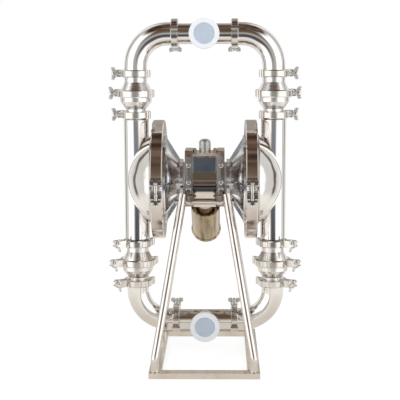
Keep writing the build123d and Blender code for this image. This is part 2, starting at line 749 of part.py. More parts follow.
def air_chamber():
    """Right air chamber about Z: flange, bell, hub flange and gusset ribs, bored for the bush."""
    face = DIAPHRAGM_X - DIAPHRAGM_THICK / 2
    flange_root = face - FLANGE_EDGE - (FLANGE_RADIUS - COLLAR_RADIUS) * tan(radians(FLANGE_ANGLE))
    hub_base = PLATE_OUTER_X + BELL_WALL
    hub_top = hub_base + HUB_FLANGE_THICK
    mouth = COLLAR_RADIUS - CHAMBER_WALL
    shoulder = flange_root - BELL_SHOULDER
    outer = Polyline(
        (COLLAR_RADIUS, shoulder),
        (COLLAR_RADIUS, face),
        (BUSH_RADIUS, face),
        (BUSH_RADIUS, hub_base),
        (HUB_RADIUS, hub_base),
        (HUB_RADIUS, hub_top),
    )
    outer += ThreePointArc((HUB_RADIUS, hub_top), BELL_WAIST, (COLLAR_RADIUS, shoulder))
    body = revolve(make_face(Plane.XZ * outer), Axis.Z)
    body += flange_profile(-1, mouth)
    body += rod(HUB_FLANGE_RADIUS, hub_base, hub_top)
    rim = COLLAR_RADIUS - RIB_INSET
    rib = Polyline(
        (HUB_RADIUS - BELL_WALL, hub_base),
        (HUB_FLANGE_RADIUS, hub_base),
        (HUB_FLANGE_RADIUS, hub_top),
        (rim, flange_root - BELL_WALL),
        (rim, flange_root),
        (HUB_RADIUS - BELL_WALL, BELL_FLOOR),
        close=True,
    )
    plate = extrude(make_face(Plane.XZ * rib), RIB_THICK / 2, both=True)
    for turn in range(RIB_COUNT):
        body += Rot(0, 0, turn * 360 / RIB_COUNT) * plate
    body -= turned(
        [
            (0, BELL_FLOOR),
            (BELL_FLOOR_RADIUS, BELL_FLOOR),
            (mouth - BELL_WALL, shoulder + BELL_WALL),
            (mouth, flange_root),
            (mouth, face + OVER),
            (0, face + OVER),
        ]
    )
    return body - rod(BUSH_RADIUS + FIT, hub_base - OVER, face)


def shaft_bush():
    """Bush in the hub of an air chamber, about Z."""
    start = PLATE_OUTER_X + BELL_WALL
    return rod(BUSH_RADIUS, start, BELL_FLOOR) - rod(SHAFT_RADIUS + FIT, start - OVER, BELL_FLOOR + OVER)


def band_ring():
    """Full ring of the right band clamp along X, with its tapered groove and the seams of its segments."""
    half = BAND_WIDTH / 2
    crest = FLANGE_RADIUS + FIT
    rim = DIAPHRAGM_THICK / 2 + FLANGE_EDGE + FIT
    flank = rim + (crest - BAND_LAND) * tan(radians(FLANGE_ANGLE))
    ring = along_x(
        turned(
            [
                (crest, -rim),
                (BAND_LAND, -flank),
                (BAND_LAND, -half),
                (BAND_RADIUS - BAND_EDGE, -half),
                (BAND_RADIUS, -half + BAND_EDGE),
                (BAND_RADIUS, half - BAND_EDGE),
                (BAND_RADIUS - BAND_EDGE, half),
                (BAND_LAND, half),
                (BAND_LAND, flank),
                (crest, rim),
            ]
        )
    )
    inner = BAND_RADIUS - SEAM_DEPTH
    seam = block(-half - OVER, half + OVER, -BAND_RADIUS - OVER, -inner, -SEAM_WIDTH / 2, SEAM_WIDTH / 2)
    for angle in BAND_SEAMS:
        ring -= Rot(-angle, 0, 0) * seam
    return ring


def closure_lug():
    """Slotted lug of the band clamp's closure, above the split, bored for its cross pin."""
    half = LUG_WIDTH / 2
    out = -BAND_RADIUS - LUG_DEPTH
    top = LUG_START + LUG_HEIGHT
    lug = block(-half, half, out, LUG_ROOT - BAND_RADIUS, LUG_START, top)
    lug = fillet(lug.edges().filter_by(Axis.X).group_by(Axis.Y)[0], LUG_ROUND)
    lug -= block(-LUG_SLOT / 2, LUG_SLOT / 2, out - OVER, -BAND_RADIUS, 0, top + OVER)
    return lug - along_x(rod(CLOSURE_PIN + FIT, -LUG_WIDTH, LUG_WIDTH), y=closure_y(), z=closure_z())


def closure_y():
    """Depth of the closure's bolt, before the band is turned to its place."""
    return -BAND_RADIUS - LUG_DEPTH / 2


def closure_z():
    """Height of the closure's cross pin, before the band is turned to its place."""
    return LUG_START + LUG_HEIGHT / 2


def band_place():
    """Place of the right band clamp."""
    return Pos(DIAPHRAGM_X, 0, AXIS_HEIGHT) * Rot(CLOSURE_DROP, 0, 0)


def band_clamp():
    """Two halves of the right band clamp, its closure on the front and its hinge on the back."""
    half = BAND_WIDTH / 2
    ring = band_ring()
    lug = closure_lug()
    big = 2 * BAND_RADIUS
    hinge_y = BAND_RADIUS + BAND_HINGE_OUT
    knuckle = BAND_HINGE_HALF
    room = BAND_HINGE_RADIUS + GAP
    outer = along_x(rod(BAND_HINGE_RADIUS, -half, -knuckle - GAP), y=hinge_y)
    outer += along_x(rod(BAND_HINGE_RADIUS, knuckle + GAP, half), y=hinge_y)
    middle = along_x(rod(BAND_HINGE_RADIUS, -knuckle, knuckle), y=hinge_y)
    pin_hole = along_x(rod(CLOSURE_PIN + FIT, -big, big), y=hinge_y)
    upper = ring & block(-big, big, -big, big, 0, big)
    upper -= block(-big, big, -big, 0, -OVER, BAND_GAP)
    upper -= along_x(rod(room, -knuckle - GAP, knuckle + GAP), y=hinge_y)
    lower = ring & block(-big, big, -big, big, -big, -BAND_SPLIT)
    lower -= block(-big, big, -big, 0, -BAND_GAP, OVER)
    lower -= along_x(rod(room, -big, -knuckle), y=hinge_y)
    lower -= along_x(rod(room, knuckle, big), y=hinge_y)
    upper = upper + lug + outer - pin_hole
    lower = lower + mirror(lug, about=Plane.XY) + middle - pin_hole
    return [band_place() * upper, band_place() * lower]


def band_fasteners():
    """Closure bolt, its cross pin, washer and nut, and the hinge pin of the right band clamp."""
    y, z = closure_y(), closure_z()
    eye_half = LUG_SLOT / 2 - GAP
    bottom = LUG_START + LUG_HEIGHT
    bolt = along_x(rod(CLOSURE_EYE, -eye_half, eye_half), y=y, z=z)
    bolt += Pos(0, y, 0) * rod(CLOSURE_SHANK, -bottom - CLOSURE_TAIL, z - CLOSURE_PIN)
    bolt -= along_x(rod(CLOSURE_PIN + FIT, -LUG_WIDTH, LUG_WIDTH), y=y, z=z)
    pin_half = LUG_WIDTH / 2 + PIN_STAND
    pin = along_x(rod(CLOSURE_PIN, -pin_half, pin_half), y=y, z=z)
    seat = -bottom - FIT
    half = LUG_WIDTH / 2 - OVER
    washer = block(-half, half, y - WASHER_HALF, y + WASHER_HALF, seat - WASHER_THICK, seat)
    nut_base = seat - WASHER_THICK - FIT - NUT_THICK
    nut = Pos(0, y, nut_base) * extrude(RegularPolygon(NUT_ACROSS, 6), NUT_THICK)
    hole = Pos(0, y, 0) * rod(CLOSURE_SHANK + FIT, -2 * bottom, -LUG_START)
    hinge_half = BAND_WIDTH / 2 + PIN_STAND
    hinge = along_x(rod(CLOSURE_PIN, -hinge_half, hinge_half), y=BAND_RADIUS + BAND_HINGE_OUT)
    return [band_place() * piece for piece in (bolt, pin, washer - hole, nut - hole, hinge)]


def add_chambers():
    """Both pairs of chambers with their bushes, band clamps and closure fasteners."""
    right = {
        "fluid_chamber": [fluid_chamber()],
        "air_chamber": [along_x(air_chamber(), z=AXIS_HEIGHT)],
        "band_clamp": band_clamp(),
    }
    for name, pieces in right.items():
        NODES[f"{name}_right"] = pieces
        NODES[f"{name}_left"] = [mirror(piece, about=Plane.YZ) for piece in pieces]
    NODES["shaft_bushes"] = both_sides(along_x(shaft_bush(), z=AXIS_HEIGHT))
    NODES["band_clamp_fasteners"] = [copy for piece in band_fasteners() for copy in both_sides(piece)]


# ---------------------------------------------------------------- diaphragms and shaft
def diaphragm():
    """Diaphragm about Z with a clamped rim, one rolled convolution and a flat middle."""
    low = DIAPHRAGM_X - DIAPHRAGM_THICK / 2
    high = DIAPHRAGM_X + DIAPHRAGM_THICK / 2
    web = INNER_PLATE_RADIUS + WEB_MARGIN
    middle = (WEB_RADIUS + web) / 2
    edge = FLANGE_RADIUS - WEB_MARGIN / 2
    outline = Polyline((web, low), (SHAFT_RADIUS + FIT, low), (SHAFT_RADIUS + FIT, high), (web, high))
    outline += ThreePointArc((web, high), (middle, high + ROLL_RISE), (WEB_RADIUS, high))
    outline += Polyline((WEB_RADIUS, high), (edge, high), (edge, low), (WEB_RADIUS, low))
    outline += ThreePointArc((WEB_RADIUS, low), (middle, high + ROLL_RISE - ROLL_THICK), (web, low))
    return revolve(make_face(Plane.XZ * outline), Axis.Z)


def inner_plate():
    """Backing plate on the air side of the diaphragm, about Z."""
    face = DIAPHRAGM_X - DIAPHRAGM_THICK / 2
    back = face - INNER_PLATE_THICK
    return turned(
        [
            (SHAFT_RADIUS + FIT, back),
            (INNER_PLATE_RADIUS - INNER_PLATE_EDGE, back),
            (INNER_PLATE_RADIUS, back + INNER_PLATE_EDGE),
            (INNER_PLATE_RADIUS, face),
            (SHAFT_RADIUS + FIT, face),
        ]
    )


def outer_plate():
    """Polished plate on the fluid side, closed by its dome over the shaft's end, about Z."""
    face = DIAPHRAGM_X + DIAPHRAGM_THICK / 2
    rim = face + OUTER_PLATE_THICK
    radius = OUTER_PLATE_RADIUS
    outline = Polyline((0, rim + OUTER_PLATE_DOME), (0, face), (radius, face), (radius, rim))
    outline += crown(radius, rim, OUTER_PLATE_DOME)
    plate = revolve(make_face(Plane.XZ * outline), Axis.Z)
    return plate - rod(STUD_RADIUS + FIT, face - OVER, face + OUTER_PLATE_THICK)


def shaft():
    """Shaft that joins both diaphragms, stepped down to a stud in each outer plate."""
    shoulder = DIAPHRAGM_X + DIAPHRAGM_THICK / 2
    stud = shoulder + OUTER_PLATE_THICK - STUD_ROOM
    return rod(SHAFT_RADIUS, -shoulder, shoulder) + rod(STUD_RADIUS, -stud, stud)


def add_shaft():
    """Diaphragms, their plates and the shaft."""
    for side, pieces in zip(SIDES, both_sides(along_x(diaphragm(), z=AXIS_HEIGHT))):
        NODES[f"diaphragm_{side}"] = [pieces]
    NODES["inner_plates"] = both_sides(along_x(inner_plate(), z=AXIS_HEIGHT))
    NODES["outer_plates"] = both_sides(along_x(outer_plate(), z=AXIS_HEIGHT))
    NODES["diaphragm_shaft"] = [along_x(shaft(), z=AXIS_HEIGHT)]


# ---------------------------------------------------------------- centre block and air valve
def muffler_axis(shape):
    """Shape made about Z, laid along the muffler from the end next to the block."""
    slope = radians(MUFFLER_SLOPE)
    direction = (0, cos(slope), -sin(slope))
    return Plane((0, MUFFLER_Y, AXIS_HEIGHT - MUFFLER_DROP), x_dir=(1, 0, 0), z_dir=direction) * shape


def front_casting():
    """Stepped front of the centre block below the air valve, with its round rib and sloping foot."""
    steps = [(-depth, AXIS_HEIGHT + rise) for depth, rise in CASTING_FRONT]
    foot = [(-depth, AXIS_HEIGHT + rise) for depth, rise in CASTING_FOOT]
    rib = (-CASTING_ROLL, (steps[-1][1] + foot[0][1]) / 2)
    outline = Polyline(*steps) + ThreePointArc(steps[-1], rib, foot[0]) + Polyline(*foot, steps[0])
    return extrude(make_face(Plane.YZ * outline), CASTING_HALF_WIDTH, both=True)


def center_block():
    """Middle casting between the side plates, with shaft bore, exhaust boss and air inlet bore."""
    half = BLOCK_HALF_WIDTH
    depth = BLOCK_HALF_DEPTH
    body = block(-half, half, -depth, depth, BLOCK_BOTTOM, BLOCK_TOP)
    body = chamfer(body.edges().filter_by(Axis.X), BLOCK_CHAMFER)
    body += front_casting()
    boss_end = -MUFFLER_NECK_LENGTH
    boss = muffler_axis(rod(MUFFLER_NECK + BOSS_WALL, boss_end - BOSS_LENGTH, boss_end))
    body += boss & block(-half, half, -depth, 2 * depth, BLOCK_BOTTOM - BOSS_HANG, BLOCK_TOP)
    throat = MUFFLER_NECK - MUFFLER_NECK_WALL
    body -= muffler_axis(rod(throat, -BOSS_LENGTH, 0))
    body -= along_x(rod(SHAFT_BORE, -half - OVER, half + OVER), z=AXIS_HEIGHT)
    body -= Pos(0, 0, BLOCK_TOP) * rod(INLET_BORE, -INLET_DEPTH, OVER)
    for x in (-VENT_X, VENT_X):
        body -= Pos(x, 0, BLOCK_TOP) * rod(VENT_THREAD + FIT, -VENT_DEPTH - OVER, OVER)
    return body


def leg_bolt_place():
    """Point on a front leg's axis where its bolt crosses, and the leg's foot."""
    foot = (BASE_WIDTH / 2 - RAIL_WIDTH / 2, -BASE_DEPTH / 2 + RAIL_WIDTH / 2, LEG_KNEE_Z)
    share = LEG_BOLT_DROP / (LEG_TOP[2] - foot[2])
    point = tuple(a + (b - a) * share for a, b in zip(LEG_TOP, foot))
    return point, foot


def side_plate():
    """Right side plate with chamfered corners, an ear for each leg and a bore for the shaft."""
    point, _ = leg_bolt_place()
    depth = PLATE_HALF_DEPTH
    axis = AXIS_HEIGHT
    plate = block(BLOCK_HALF_WIDTH, PLATE_OUTER_X, -depth, depth, axis - PLATE_DROP, axis + PLATE_RISE)
    plate = chamfer(plate.edges().filter_by(Axis.X), PLATE_CORNER)
    ears = block(BLOCK_HALF_WIDTH, EAR_OUTER_X, -EAR_TIP_Y, EAR_TIP_Y, axis - EAR_DROP, axis + EAR_RISE)
    ears = fillet(ears.edges().filter_by(Axis.X), EAR_ROUND)
    plate += ears
    spacer = rod(SPACER_RADIUS, EAR_OUTER_X - OVER, point[0] - LEG_RADIUS - LEG_WALL - GAP)
    for y in (point[1], -point[1]):
        plate += along_x(spacer, y=y, z=point[2])
    for y in (point[1], -point[1]):
        plate -= along_x(rod(BOLT_RADIUS + FIT, 0, 2 * PLATE_OUTER_X), y=y, z=point[2])
    return plate - along_x(rod(SHAFT_BORE, 0, PLATE_OUTER_X + OVER), z=axis)


def valve_body():
    """Air valve body on the front of the block, bored along X for the spool."""
    half = CASTING_HALF_WIDTH
    low = AXIS_HEIGHT - VALVE_BODY_DROP
    body = block(-half, half, VALVE_FRONT, -BLOCK_HALF_DEPTH, low, AXIS_HEIGHT + VALVE_BODY_RISE)
    body = chamfer(body.edges().filter_by(Axis.X).group_by(Axis.Y)[0], VALVE_BODY_CHAMFER)
    y = (VALVE_FRONT - BLOCK_HALF_DEPTH) / 2
    return body - along_x(rod(SPOOL_RADIUS + FIT, -half - OVER, half + OVER), y=y, z=SPOOL_Z)


def spool():
    """Valve spool about Z with three lands and two grooves."""
    land = SPOOL_HALF / 3
    waist = SPOOL_WAIST
    return turned(
        [
            (0, -SPOOL_HALF),
            (SPOOL_RADIUS, -SPOOL_HALF),
            (SPOOL_RADIUS, -SPOOL_HALF + land),
            (waist, -SPOOL_HALF + land),
            (waist, -land / 2),
            (SPOOL_RADIUS, -land / 2),
            (SPOOL_RADIUS, land / 2),
            (waist, land / 2),
            (waist, SPOOL_HALF - land),
            (SPOOL_RADIUS, SPOOL_HALF - land),
            (SPOOL_RADIUS, SPOOL_HALF),
            (0, SPOOL_HALF),
        ]
    )


def inlet_fitting():
    """Air inlet on top of the block: round body with a groove under its rounded mouth, bored through."""
    foot = BLOCK_TOP
    top = foot + INLET_HEIGHT
    crown_base = top - INLET_CROWN
    groove = crown_base - 2 * INLET_GROOVE
    corner = INLET_RADIUS - INLET_BORE
    bend = sqrt(0.5)
    middle = (INLET_BORE + corner * bend, crown_base + INLET_CROWN * bend)
    outline = Polyline(
        (INLET_BORE, top),
        (INLET_BORE, foot),
        (INLET_RADIUS, foot),
        (INLET_RADIUS, groove),
        (INLET_RADIUS - INLET_GROOVE, groove),
        (INLET_RADIUS - INLET_GROOVE, groove + INLET_GROOVE),
        (INLET_RADIUS, groove + INLET_GROOVE),
        (INLET_RADIUS, crown_base),
    )
    outline += ThreePointArc((INLET_RADIUS, crown_base), middle, (INLET_BORE, top))
    return revolve(make_face(Plane.XZ * outline), Axis.Z)


def vent_plug(x):
    """Small round-headed vent plug, screwed into the block's top."""
    plug = rod(VENT_THREAD, BLOCK_TOP - VENT_DEPTH, BLOCK_TOP)
    plug += rod(VENT_RADIUS, BLOCK_TOP, BLOCK_TOP + VENT_NECK)
    plug += Pos(0, 0, BLOCK_TOP + VENT_NECK) * Sphere(VENT_RADIUS)
    return Pos(x, 0, 0) * plug


def hex_bolt(length, radius, head_radius, head_height):
    """Hexagon head bolt about Z, its head above height 0 and its shank below."""
    head = extrude(RegularPolygon(head_radius, 6), head_height)
    return head + rod(radius, -length, 0.0)


def add_block():
    """Centre block, side plates, air valve and the fittings on top."""
    NODES["center_block"] = [center_block()]
    NODES["side_plates"] = both_sides(side_plate())
    NODES["air_valve_body"] = [valve_body()]
    valve_y = (VALVE_FRONT - BLOCK_HALF_DEPTH) / 2
    NODES["valve_spool"] = [along_x(spool(), y=valve_y, z=SPOOL_Z)]
    plug = rod(SPOOL_RADIUS, PLUG_START, CASTING_HALF_WIDTH)
    NODES["valve_end_plugs"] = both_sides(along_x(plug, y=valve_y, z=SPOOL_Z))
    half = COVER_WIDTH / 2
    low = SPOOL_Z - COVER_HEIGHT / 2
    cover = block(-half, half, VALVE_FRONT - COVER_THICK, VALVE_FRONT, low, low + COVER_HEIGHT)
    cover = fillet(cover.edges().filter_by(Axis.Y), COVER_ROUND)
    NODES["air_valve_cover"] = [cover]
    ring = rod(HUB_RADIUS, PLATE_OUTER_X, PLATE_OUTER_X + BELL_WALL)
    ring -= rod(BUSH_RADIUS + GASKET, 0, 2 * PLATE_OUTER_X)
    NODES["gaskets"] += both_sides(along_x(ring, z=AXIS_HEIGHT))
    NODES["air_inlet_fitting"] = [inlet_fitting()]
    NODES["vent_plug_left"] = [vent_plug(-VENT_X)]
    NODES["vent_plug_right"] = [vent_plug(VENT_X)]


# ---------------------------------------------------------------- muffler
def add_muffler():
    """Exhaust muffler slanting down behind the block: its neck and its can."""
    throat = MUFFLER_NECK - MUFFLER_NECK_WALL
    neck = rod(MUFFLER_NECK, -MUFFLER_NECK_LENGTH, 0) - rod(throat, -MUFFLER_NECK_LENGTH - OVER, OVER)
    NODES["muffler_neck"] = [muffler_axis(neck)]
    wall = MUFFLER_WALL
    lip = MUFFLER_LENGTH - MUFFLER_ROLL
    inner = MUFFLER_RADIUS - wall
    can = turned(
        [
            (throat, 0),
            (MUFFLER_RADIUS - wall, 0),
            (MUFFLER_RADIUS, wall),
            (MUFFLER_RADIUS, lip),
            (MUFFLER_LIP, lip + wall),
            (MUFFLER_LIP, MUFFLER_LENGTH),
            (inner - wall, MUFFLER_LENGTH),
            (inner - wall, lip + wall),
            (inner, lip),
            (inner, wall),
            (throat, wall),
        ]
    )
    NODES["muffler_can"] = [muffler_axis(can)]
    back = MUFFLER_LENGTH - PACKING_DEPTH
    NODES["muffler_packing"] = [muffler_axis(rod(inner - GAP, back - PACKING_LENGTH, back))]


# ---------------------------------------------------------------- legs and base frame
def leg():
    """Front right leg: splayed tube, bent upright where it meets the base frame."""
    _, foot = leg_bolt_place()
    end = (foot[0], foot[1], RAIL_HEIGHT)
    path = FilletPolyline(LEG_TOP, foot, end, radius=LEG_BEND)
    run = tuple(b - a for a, b in zip(LEG_TOP, foot))
    mouth = Plane(LEG_TOP, z_dir=run)
    tube = sweep(mouth * Circle(LEG_RADIUS), path=path)
    tube -= sweep(mouth * Circle(LEG_RADIUS - LEG_WALL), path=path)
    point, _ = leg_bolt_place()
    return tube - along_x(rod(BOLT_RADIUS + FIT, 0, BASE_WIDTH), y=point[1], z=point[2])


def leg_bolt():
    """Bolt through a front leg and its ear, with its nut behind the ear."""
    point, _ = leg_bolt_place()
    outer = point[0] + LEG_RADIUS + LEG_BOLT_STAND
    length = outer - BLOCK_HALF_WIDTH + LEG_BOLT_TAIL
    bolt = hex_bolt(length, BOLT_RADIUS, LEG_BOLT_HEAD, LEG_BOLT_HEIGHT)
    nut = extrude(RegularPolygon(LEG_BOLT_HEAD, 6), LEG_BOLT_HEIGHT) - rod(BOLT_RADIUS + FIT, -OVER, length)
    inner = BLOCK_HALF_WIDTH - LEG_BOLT_HEIGHT - FIT
    return [along_x(bolt, x=outer, y=point[1], z=point[2]), along_x(nut, x=inner, y=point[1], z=point[2])]


def add_stand():
    """Four legs, their bolts and the base frame."""
    front = both_sides(leg())
    NODES["support_legs"] = front + [mirror(piece, about=Plane.XZ) for piece in front]
    bolts = [copy for piece in leg_bolt() for copy in both_sides(piece)]
    NODES["leg_bolts"] = bolts + [mirror(piece, about=Plane.XZ) for piece in bolts]
    half_x, half_y = BASE_WIDTH / 2, BASE_DEPTH / 2
    frame = block(-half_x, half_x, -half_y, half_y, 0, RAIL_HEIGHT)
    inner_x, inner_y = half_x - RAIL_WIDTH, half_y - RAIL_WIDTH
    frame -= block(-inner_x, inner_x, -inner_y, inner_y, -OVER, RAIL_HEIGHT + OVER)
    NODES["base_frame"] = [frame]


def main():
    """Builds every node and writes each to its own STEP file."""
    add_valves()
    add_manifolds()
    add_tube_clamps()
    add_chambers()
    add_shaft()
    add_block()
    add_muffler()
    add_stand()
    os.makedirs("parts", exist_ok=True)
    for name, pieces in NODES.items():
        solids = [solid for piece in pieces for solid in piece.solids()]
        export_step(Compound(children=solids) if len(solids) > 1 else solids[0], f"parts/{name}.step")
    print(len(NODES), "nodes")


if __name__ == "__main__":
    main()
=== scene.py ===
"""Looks of an air operated double diaphragm pump in polished stainless steel, built round its frame."""

import json
import logging
import math
from dataclasses import dataclass, field
from enum import Enum
from typing import Any, Iterator, Optional, Sequence

import bmesh
import bpy
from mathutils import Euler, Matrix, Vector

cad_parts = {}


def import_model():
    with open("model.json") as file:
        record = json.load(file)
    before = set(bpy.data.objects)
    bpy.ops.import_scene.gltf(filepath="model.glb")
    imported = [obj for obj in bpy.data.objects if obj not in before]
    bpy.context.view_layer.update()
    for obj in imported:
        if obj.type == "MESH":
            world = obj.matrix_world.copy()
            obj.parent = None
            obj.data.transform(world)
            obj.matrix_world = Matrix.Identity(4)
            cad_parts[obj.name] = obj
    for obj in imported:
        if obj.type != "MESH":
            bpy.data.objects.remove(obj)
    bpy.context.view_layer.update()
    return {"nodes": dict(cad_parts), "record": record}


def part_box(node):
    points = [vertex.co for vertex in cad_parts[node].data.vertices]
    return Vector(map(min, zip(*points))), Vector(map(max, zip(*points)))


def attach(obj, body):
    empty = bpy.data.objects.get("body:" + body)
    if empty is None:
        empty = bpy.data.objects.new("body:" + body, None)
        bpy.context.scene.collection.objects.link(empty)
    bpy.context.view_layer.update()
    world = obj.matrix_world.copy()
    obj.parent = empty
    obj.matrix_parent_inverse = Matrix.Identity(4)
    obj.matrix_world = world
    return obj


LOG = logging.getLogger("pump")
MM = 0.001

ACROSS = Vector((1.0, 0.0, 0.0))
FRONT = Vector((0.0, -1.0, 0.0))
UP = Vector((0.0, 0.0, 1.0))
QUARTER_TURN = 90.0
HALF_TURN = 180.0
WHITE = "#ffffff"

# The sRGB curve: a straight foot below the knee, then a power.
SRGB_KNEE, SRGB_FOOT, SRGB_LIFT, SRGB_POWER = 0.04045, 12.92, 0.055, 2.4
# Sockets of a colour mix node, whose names repeat: the factor and both colours in, the mixed colour out.
FACTOR, FIRST, SECOND, MIXED = 0, 6, 7, 2
# Share of a cloud pattern's range over which a stain grows in, and of a grain pattern's for its gloss.
STAIN_RANGE = (0.45, 0.75)
GRAIN_RANGE = (0.3, 0.7)
# Least and most roughness of an uneven gloss, as shares of its middle value.
GLOSS_SPREAD = (0.7, 1.4)
PLASTIC_IOR = 1.5
# Edges of new pieces that turn by more than this stay crisp.
SHARP_ANGLE = math.radians(35)
NUT_NAME = "wing_nut_"

Colour = tuple[float, float, float, float]
Stops = tuple[tuple[float, str], ...]


def hex_colour(code: str) -> Colour:
    """Turn an sRGB hex value into a linear colour.

    Args:
        code: Six hex digits after a hash.

    Returns:
        Linear red, green and blue, and full opacity.
    """
    digits = code.lstrip("#")
    red, green, blue = (
        c / SRGB_FOOT if c <= SRGB_KNEE else ((c + SRGB_LIFT) / (1 + SRGB_LIFT)) ** SRGB_POWER
        for c in (int(digits[i : i + 2], 16) / 255 for i in (0, 2, 4))
    )
    return (red, green, blue, 1.0)


def add_node(
    tree: bpy.types.NodeTree, kind: str, links: Optional[dict] = None, **settings: Any
) -> bpy.types.Node:
    """Add one shader node.

    Args:
        tree: Node tree that takes the node.
        kind: Blender's identifier of the node type.
        links: Input name or number, to a socket that feeds it or a plain value for it.
        **settings: Attributes set on the node itself.

    Returns:
        The new node.
    """
    made = tree.nodes.new(kind)
    for name, value in settings.items():
        setattr(made, name, value)
    for key, value in (links or {}).items():
        if isinstance(value, bpy.types.NodeSocket):
            tree.links.new(value, made.inputs[key])
        else:
            made.inputs[key].default_value = value
    return made


def set_ramp(ramp: bpy.types.Node, stops: Sequence[tuple[float, Colour]]) -> bpy.types.NodeSocket:
    """Give a colour ramp its stops.

    Args:
        ramp: A ColorRamp node.
        stops: Position and colour of each stop, in order.

    Returns:
        The ramp's colour output.
    """
    elements = ramp.color_ramp.elements
    while len(elements) > 1:
        elements.remove(elements[-1])
    elements[0].position, elements[0].color = stops[0]
    for position, colour in stops[1:]:
        elements.new(position).color = colour
    return ramp.outputs["Color"]


# ------------------------------------------------------------------------------------------- finishes
class Polish(Enum):
    """How far a steel surface was worked, as roughness and depth of its grain in millimetres."""

    MIRROR = (0.07, 0.004)
    BRIGHT = (0.11, 0.006)
    SATIN = (0.20, 0.006)
    CAST = (0.16, 0.020)
    BRUSHED = (0.22, 0.004)
    MATT = (0.34, 0.006)


@dataclass(frozen=True)
class Stainless:
    """Austenitic stainless steel: neutral with a faint warm cast, its gloss set by how it was worked.

    A streak stretches the patterns along the axes whose share is small, after a lean about X in degrees.
    Bands are level stripes of another tone, painted reflection and shade laid on the front half, each with
    its lower and upper height in millimetres.
    """

    name: str
    polish: Polish
    colour: str = "#efedeb"
    stain: str = "#cdbfb0"
    stain_share: float = 0.25
    grain_mm: float = 6.0
    clouds_mm: float = 45.0
    streak: tuple[float, float, float] = (1.0, 1.0, 1.0)
    lean: float = 0.0
    bands: tuple[tuple[float, float, str], ...] = ()

    def stained(self, tree: bpy.types.NodeTree, stretched: bpy.types.NodeSocket) -> bpy.types.NodeSocket:
        """Mix the steel's colour with soft clouds of stain.

        Args:
            tree: Node tree of the material.
            stretched: Object coordinates with the finish's streak.

        Returns:
            The mixed colour.
        """
        clouds = add_node(
            tree,
            "ShaderNodeTexNoise",
            {"Vector": stretched, "Scale": 1 / (self.clouds_mm * MM), "Detail": 3.0},
        ).outputs["Fac"]
        start, full = STAIN_RANGE
        share = add_node(
            tree,
            "ShaderNodeMapRange",
            {"Value": clouds, "From Min": start, "From Max": full, "To Max": self.stain_share},
        ).outputs["Result"]
        return add_node(
            tree,
            "ShaderNodeMix",
            {FACTOR: share, FIRST: hex_colour(self.colour), SECOND: hex_colour(self.stain)},
            data_type="RGBA",
        ).outputs[MIXED]

    def with_painted_bands(
        self, tree: bpy.types.NodeTree, place: bpy.types.NodeSocket, colour: bpy.types.NodeSocket
    ) -> bpy.types.NodeSocket:
        """Lay the level bands of painted reflection and shade over a colour, on the front half alone.

        Args:
            tree: Node tree of the material.
            place: Object coordinates.
            colour: Colour under the bands.

        Returns:
            The colour with its bands, each faded over a millimetre at its edges.
        """
        if not self.bands:
            return colour
        axes = add_node(tree, "ShaderNodeSeparateXYZ", {"Vector": place}).outputs
        # Painted bands go only on the half that faces the camera.
        front = add_node(tree, "ShaderNodeMath", {0: axes["Y"], 1: 0.0}, operation="LESS_THAN").outputs[0]
        for bottom, top, code in self.bands:
            middle, half = (bottom + top) / 2 * MM, (top - bottom) / 2 * MM
            away = add_node(
                tree, "ShaderNodeMath", {0: axes["Z"], 1: middle}, operation="SUBTRACT"
            ).outputs[0]
            far = add_node(tree, "ShaderNodeMath", {0: away}, operation="ABSOLUTE").outputs[0]
            share = add_node(
                tree,
                "ShaderNodeMapRange",
                {"Value": far, "From Min": half - MM, "From Max": half, "To Min": 1.0, "To Max": 0.0},
            ).outputs["Result"]
            held = add_node(tree, "ShaderNodeMath", {0: share, 1: front}, operation="MULTIPLY").outputs[0]
            colour = add_node(
                tree,
                "ShaderNodeMix",
                {FACTOR: held, FIRST: colour, SECOND: hex_colour(code)},
                data_type="RGBA",
            ).outputs[MIXED]
        return colour

    def build(self) -> bpy.types.Material:
        """Make the material: soft clouds of stain, and a fine uneven gloss over a slight ripple.

        Returns:
            The new material.
        """
        roughness, depth = self.polish.value
        material = bpy.data.materials.new(self.name)
        material.use_nodes = True
        tree = material.node_tree
        shader = tree.nodes["Principled BSDF"]
        shader.inputs["Metallic"].default_value = 1.0
        place = add_node(tree, "ShaderNodeTexCoord").outputs["Object"]
        along = add_node(
            tree, "ShaderNodeMapping", {"Vector": place, "Rotation": (math.radians(self.lean), 0.0, 0.0)}
        ).outputs["Vector"]
        stretched = add_node(
            tree, "ShaderNodeMapping", {"Vector": along, "Scale": self.streak}
        ).outputs["Vector"]
        colour = self.with_painted_bands(tree, place, self.stained(tree, stretched))
        tree.links.new(colour, shader.inputs["Base Color"])
        grain = add_node(
            tree,
            "ShaderNodeTexNoise",
            {"Vector": stretched, "Scale": 1 / (self.grain_mm * MM), "Detail": 4.0},
        ).outputs["Fac"]
        low, high = GRAIN_RANGE
        least, most = GLOSS_SPREAD
        gloss = add_node(
            tree,
            "ShaderNodeMapRange",
            {
                "Value": grain,
                "From Min": low,
                "From Max": high,
                "To Min": roughness * least,
                "To Max": roughness * most,
            },
        )
        tree.links.new(gloss.outputs["Result"], shader.inputs["Roughness"])
        ripple = add_node(
            tree, "ShaderNodeBump", {"Height": grain, "Distance": depth * MM, "Strength": 1.0}
        )
        tree.links.new(ripple.outputs["Normal"], shader.inputs["Normal"])
        return material


